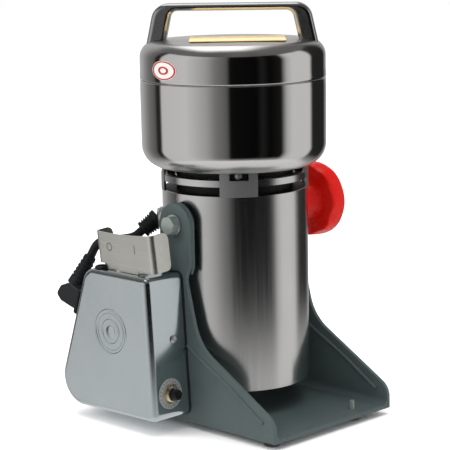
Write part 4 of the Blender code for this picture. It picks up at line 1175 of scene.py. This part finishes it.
GLAND_ANGLE = radians(141.0)
OUTWARD = Vector((cos(GLAND_ANGLE), sin(GLAND_ANGLE), 0))
GLAND_SEAT = Vector((AXIS_X, 0, 157 * MM)) + OUTWARD * TUBE_RADIUS
BOOT_AXIS = (OUTWARD + Vector((0, 0, -0.75))).normalized()
BOOT_START = GLAND_SEAT + OUTWARD * 4.3 * MM
BOOT_END = BOOT_START + BOOT_AXIS * 16 * MM
NECK_START = Vector((AXIS_X - 90.5 * MM, 91 * MM, 103 * MM))
NECK_TOP = Vector((AXIS_X - 81 * MM, 82.8 * MM, 126 * MM))
LEAD_ROUTE = ((-62.6, 50.7, 143.2), (-68, 59.5, 141.0), (-73.5, 70, 140.8), (-77.3, 78.6, 135.5))


def lead():
    washer = mm((0, 0), (9.2, 0), (9.4, 0.5), (9.4, 1.4), (8.4, 2.4), (8.0, 4.2), (0, 4.2))
    mesh = moved(turned("gland_nut", washer), facing(GLAND_SEAT + OUTWARD * 0.2 * MM, OUTWARD))
    piece("gland_nut", mesh, SATIN, "grinder", ["motor_lead_gland"], "satin_stainless")
    mesh = turned("gland_boot", ribbed_profile(16 * MM, 8.0 * MM, 6.6 * MM, 5, 1.1 * MM), SMALL_STEPS)
    piece(
        "gland_boot", moved(mesh, facing(BOOT_START - BOOT_AXIS * 1 * MM, BOOT_AXIS)), RUBBER, "grinder",
        ["motor_lead_boot"], "rubber", smooth=50,
    )
    neck_axis = (NECK_TOP - NECK_START).normalized()
    mesh = turned(
        "neck_boot", ribbed_profile((NECK_TOP - NECK_START).length, 7.4 * MM, 4.9 * MM, 5, 0.7 * MM),
        SMALL_STEPS,
    )
    piece(
        "neck_boot", moved(mesh, facing(NECK_START, neck_axis)), RUBBER, "stand", ["connector_boot"],
        "rubber", smooth=50,
    )
    points = [Vector((AXIS_X + x * MM, y * MM, z * MM)) for x, y, z in LEAD_ROUTE]
    line = smooth_line([BOOT_END - BOOT_AXIS * 1 * MM, *points, NECK_TOP - neck_axis * 0.5 * MM], 14)
    obj = placed("motor_cable", tube_along("motor_cable", line, LEAD_RADIUS, 24))
    obj.data.materials.append(RUBBER)
    obj.data.shade_smooth()
    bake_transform(obj)
    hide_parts("motor_lead")


def connector():
    """Angled plug on the box's slanted rear wall, with a shoulder round its body."""
    slope = radians(19.36)
    height = 92.1 * MM
    wall_y = BOX_CORNERS[1][0] + (BOX_HIGH.z - height) * sin(slope) / cos(slope)
    wall = shift(AXIS_X - 90 * MM, wall_y, height) @ Matrix.Rotation(slope, 4, "X")
    outline = rounded(
        mm((3.2, -7.8, 1), (22, -9.1, 3), (28.6, -5.5, 3), (25.6, 3, 4), (18.5, 8.7, 2), (3.2, 8.7, 1)),
        8,
    )
    mesh = moved(prism("plug_body", outline, -10.5 * MM, 10.5 * MM, "YZ"), wall)
    obj = piece("plug_body", mesh, RUBBER, "stand", ["lead_connector"], "rubber", smooth=50)
    bevel(obj, 1.6 * MM, 4, 40)
    flange = rectangle(13, -11, 10.5, 3, 6)
    mesh = prism("inlet", flange, 0, 2.9 * MM)
    mesh = moved(mesh, wall @ Matrix.Rotation(radians(-90), 4, "X"))
    bevel(piece("inlet", mesh, BLACK, "stand", ["lead_socket"], "black_plastic"), 0.6 * MM, 3)


def grommet():
    centre = middle("mains_grommet")
    profile = mm((3.6, -3), (4.5, -3), (4.5, 0.1), (5.6, 0.1))
    angles = [radians(a) for a in range(10, 91, 10)]
    profile += [(3.6 * MM + 2.0 * MM * cos(a), 0.3 * MM + 2.1 * MM * sin(a)) for a in angles]
    mesh = turned("lead_grommet", profile)
    piece(
        "lead_grommet", mesh, RUBBER, "stand", ["mains_grommet"], "rubber",
        at=(centre.x, centre.y, BOX_HIGH.z), smooth=60,
    )


CAD_FINISHES = {
    ZINC: (
        "pivot_nut", "pivot_boss_left", "pivot_boss_right", "clamp_stud", "clamp_washer", "motor_shaft",
        "lower_bearing", "upper_bearing", "blade_spacer", "blade_nut",
    ),
    SATIN: ("lower_blade", "upper_blade"),
    BLACK: ("motor_bottom_cover", "cooling_fan", "toggle_switch"),
    CASTING: ("lower_end_bracket", "upper_end_bracket"),
    NICKEL: ("brush_holder_left", "brush_holder_right"),
    COPPER: ("commutator", "field_winding_lower", "field_winding_upper"),
    IRON: ("stator_core", "armature_core"),
    SILICONE: ("shaft_seal", "lid_seal"),
}


def finish_cad_nodes():
    """The inner pieces keep their CAD shapes and get the same quality of finish."""
    for material, names in CAD_FINISHES.items():
        for name in names:
            slots = frame["nodes"][name].data.materials
            slots.clear()
            slots.append(material)


STEPS = (
    camera, floor, light_tent, tent_roof, floor_sheet, overhead_card, lights, bowl, lid, handle,
    labels, motor_tube, stand, feet, pivot, knob, switch_box, breaker, guard, toggle, lead,
    connector, grommet, finish_cad_nodes,
)
for step in STEPS:
    step()

bpy.context.view_layer.update()
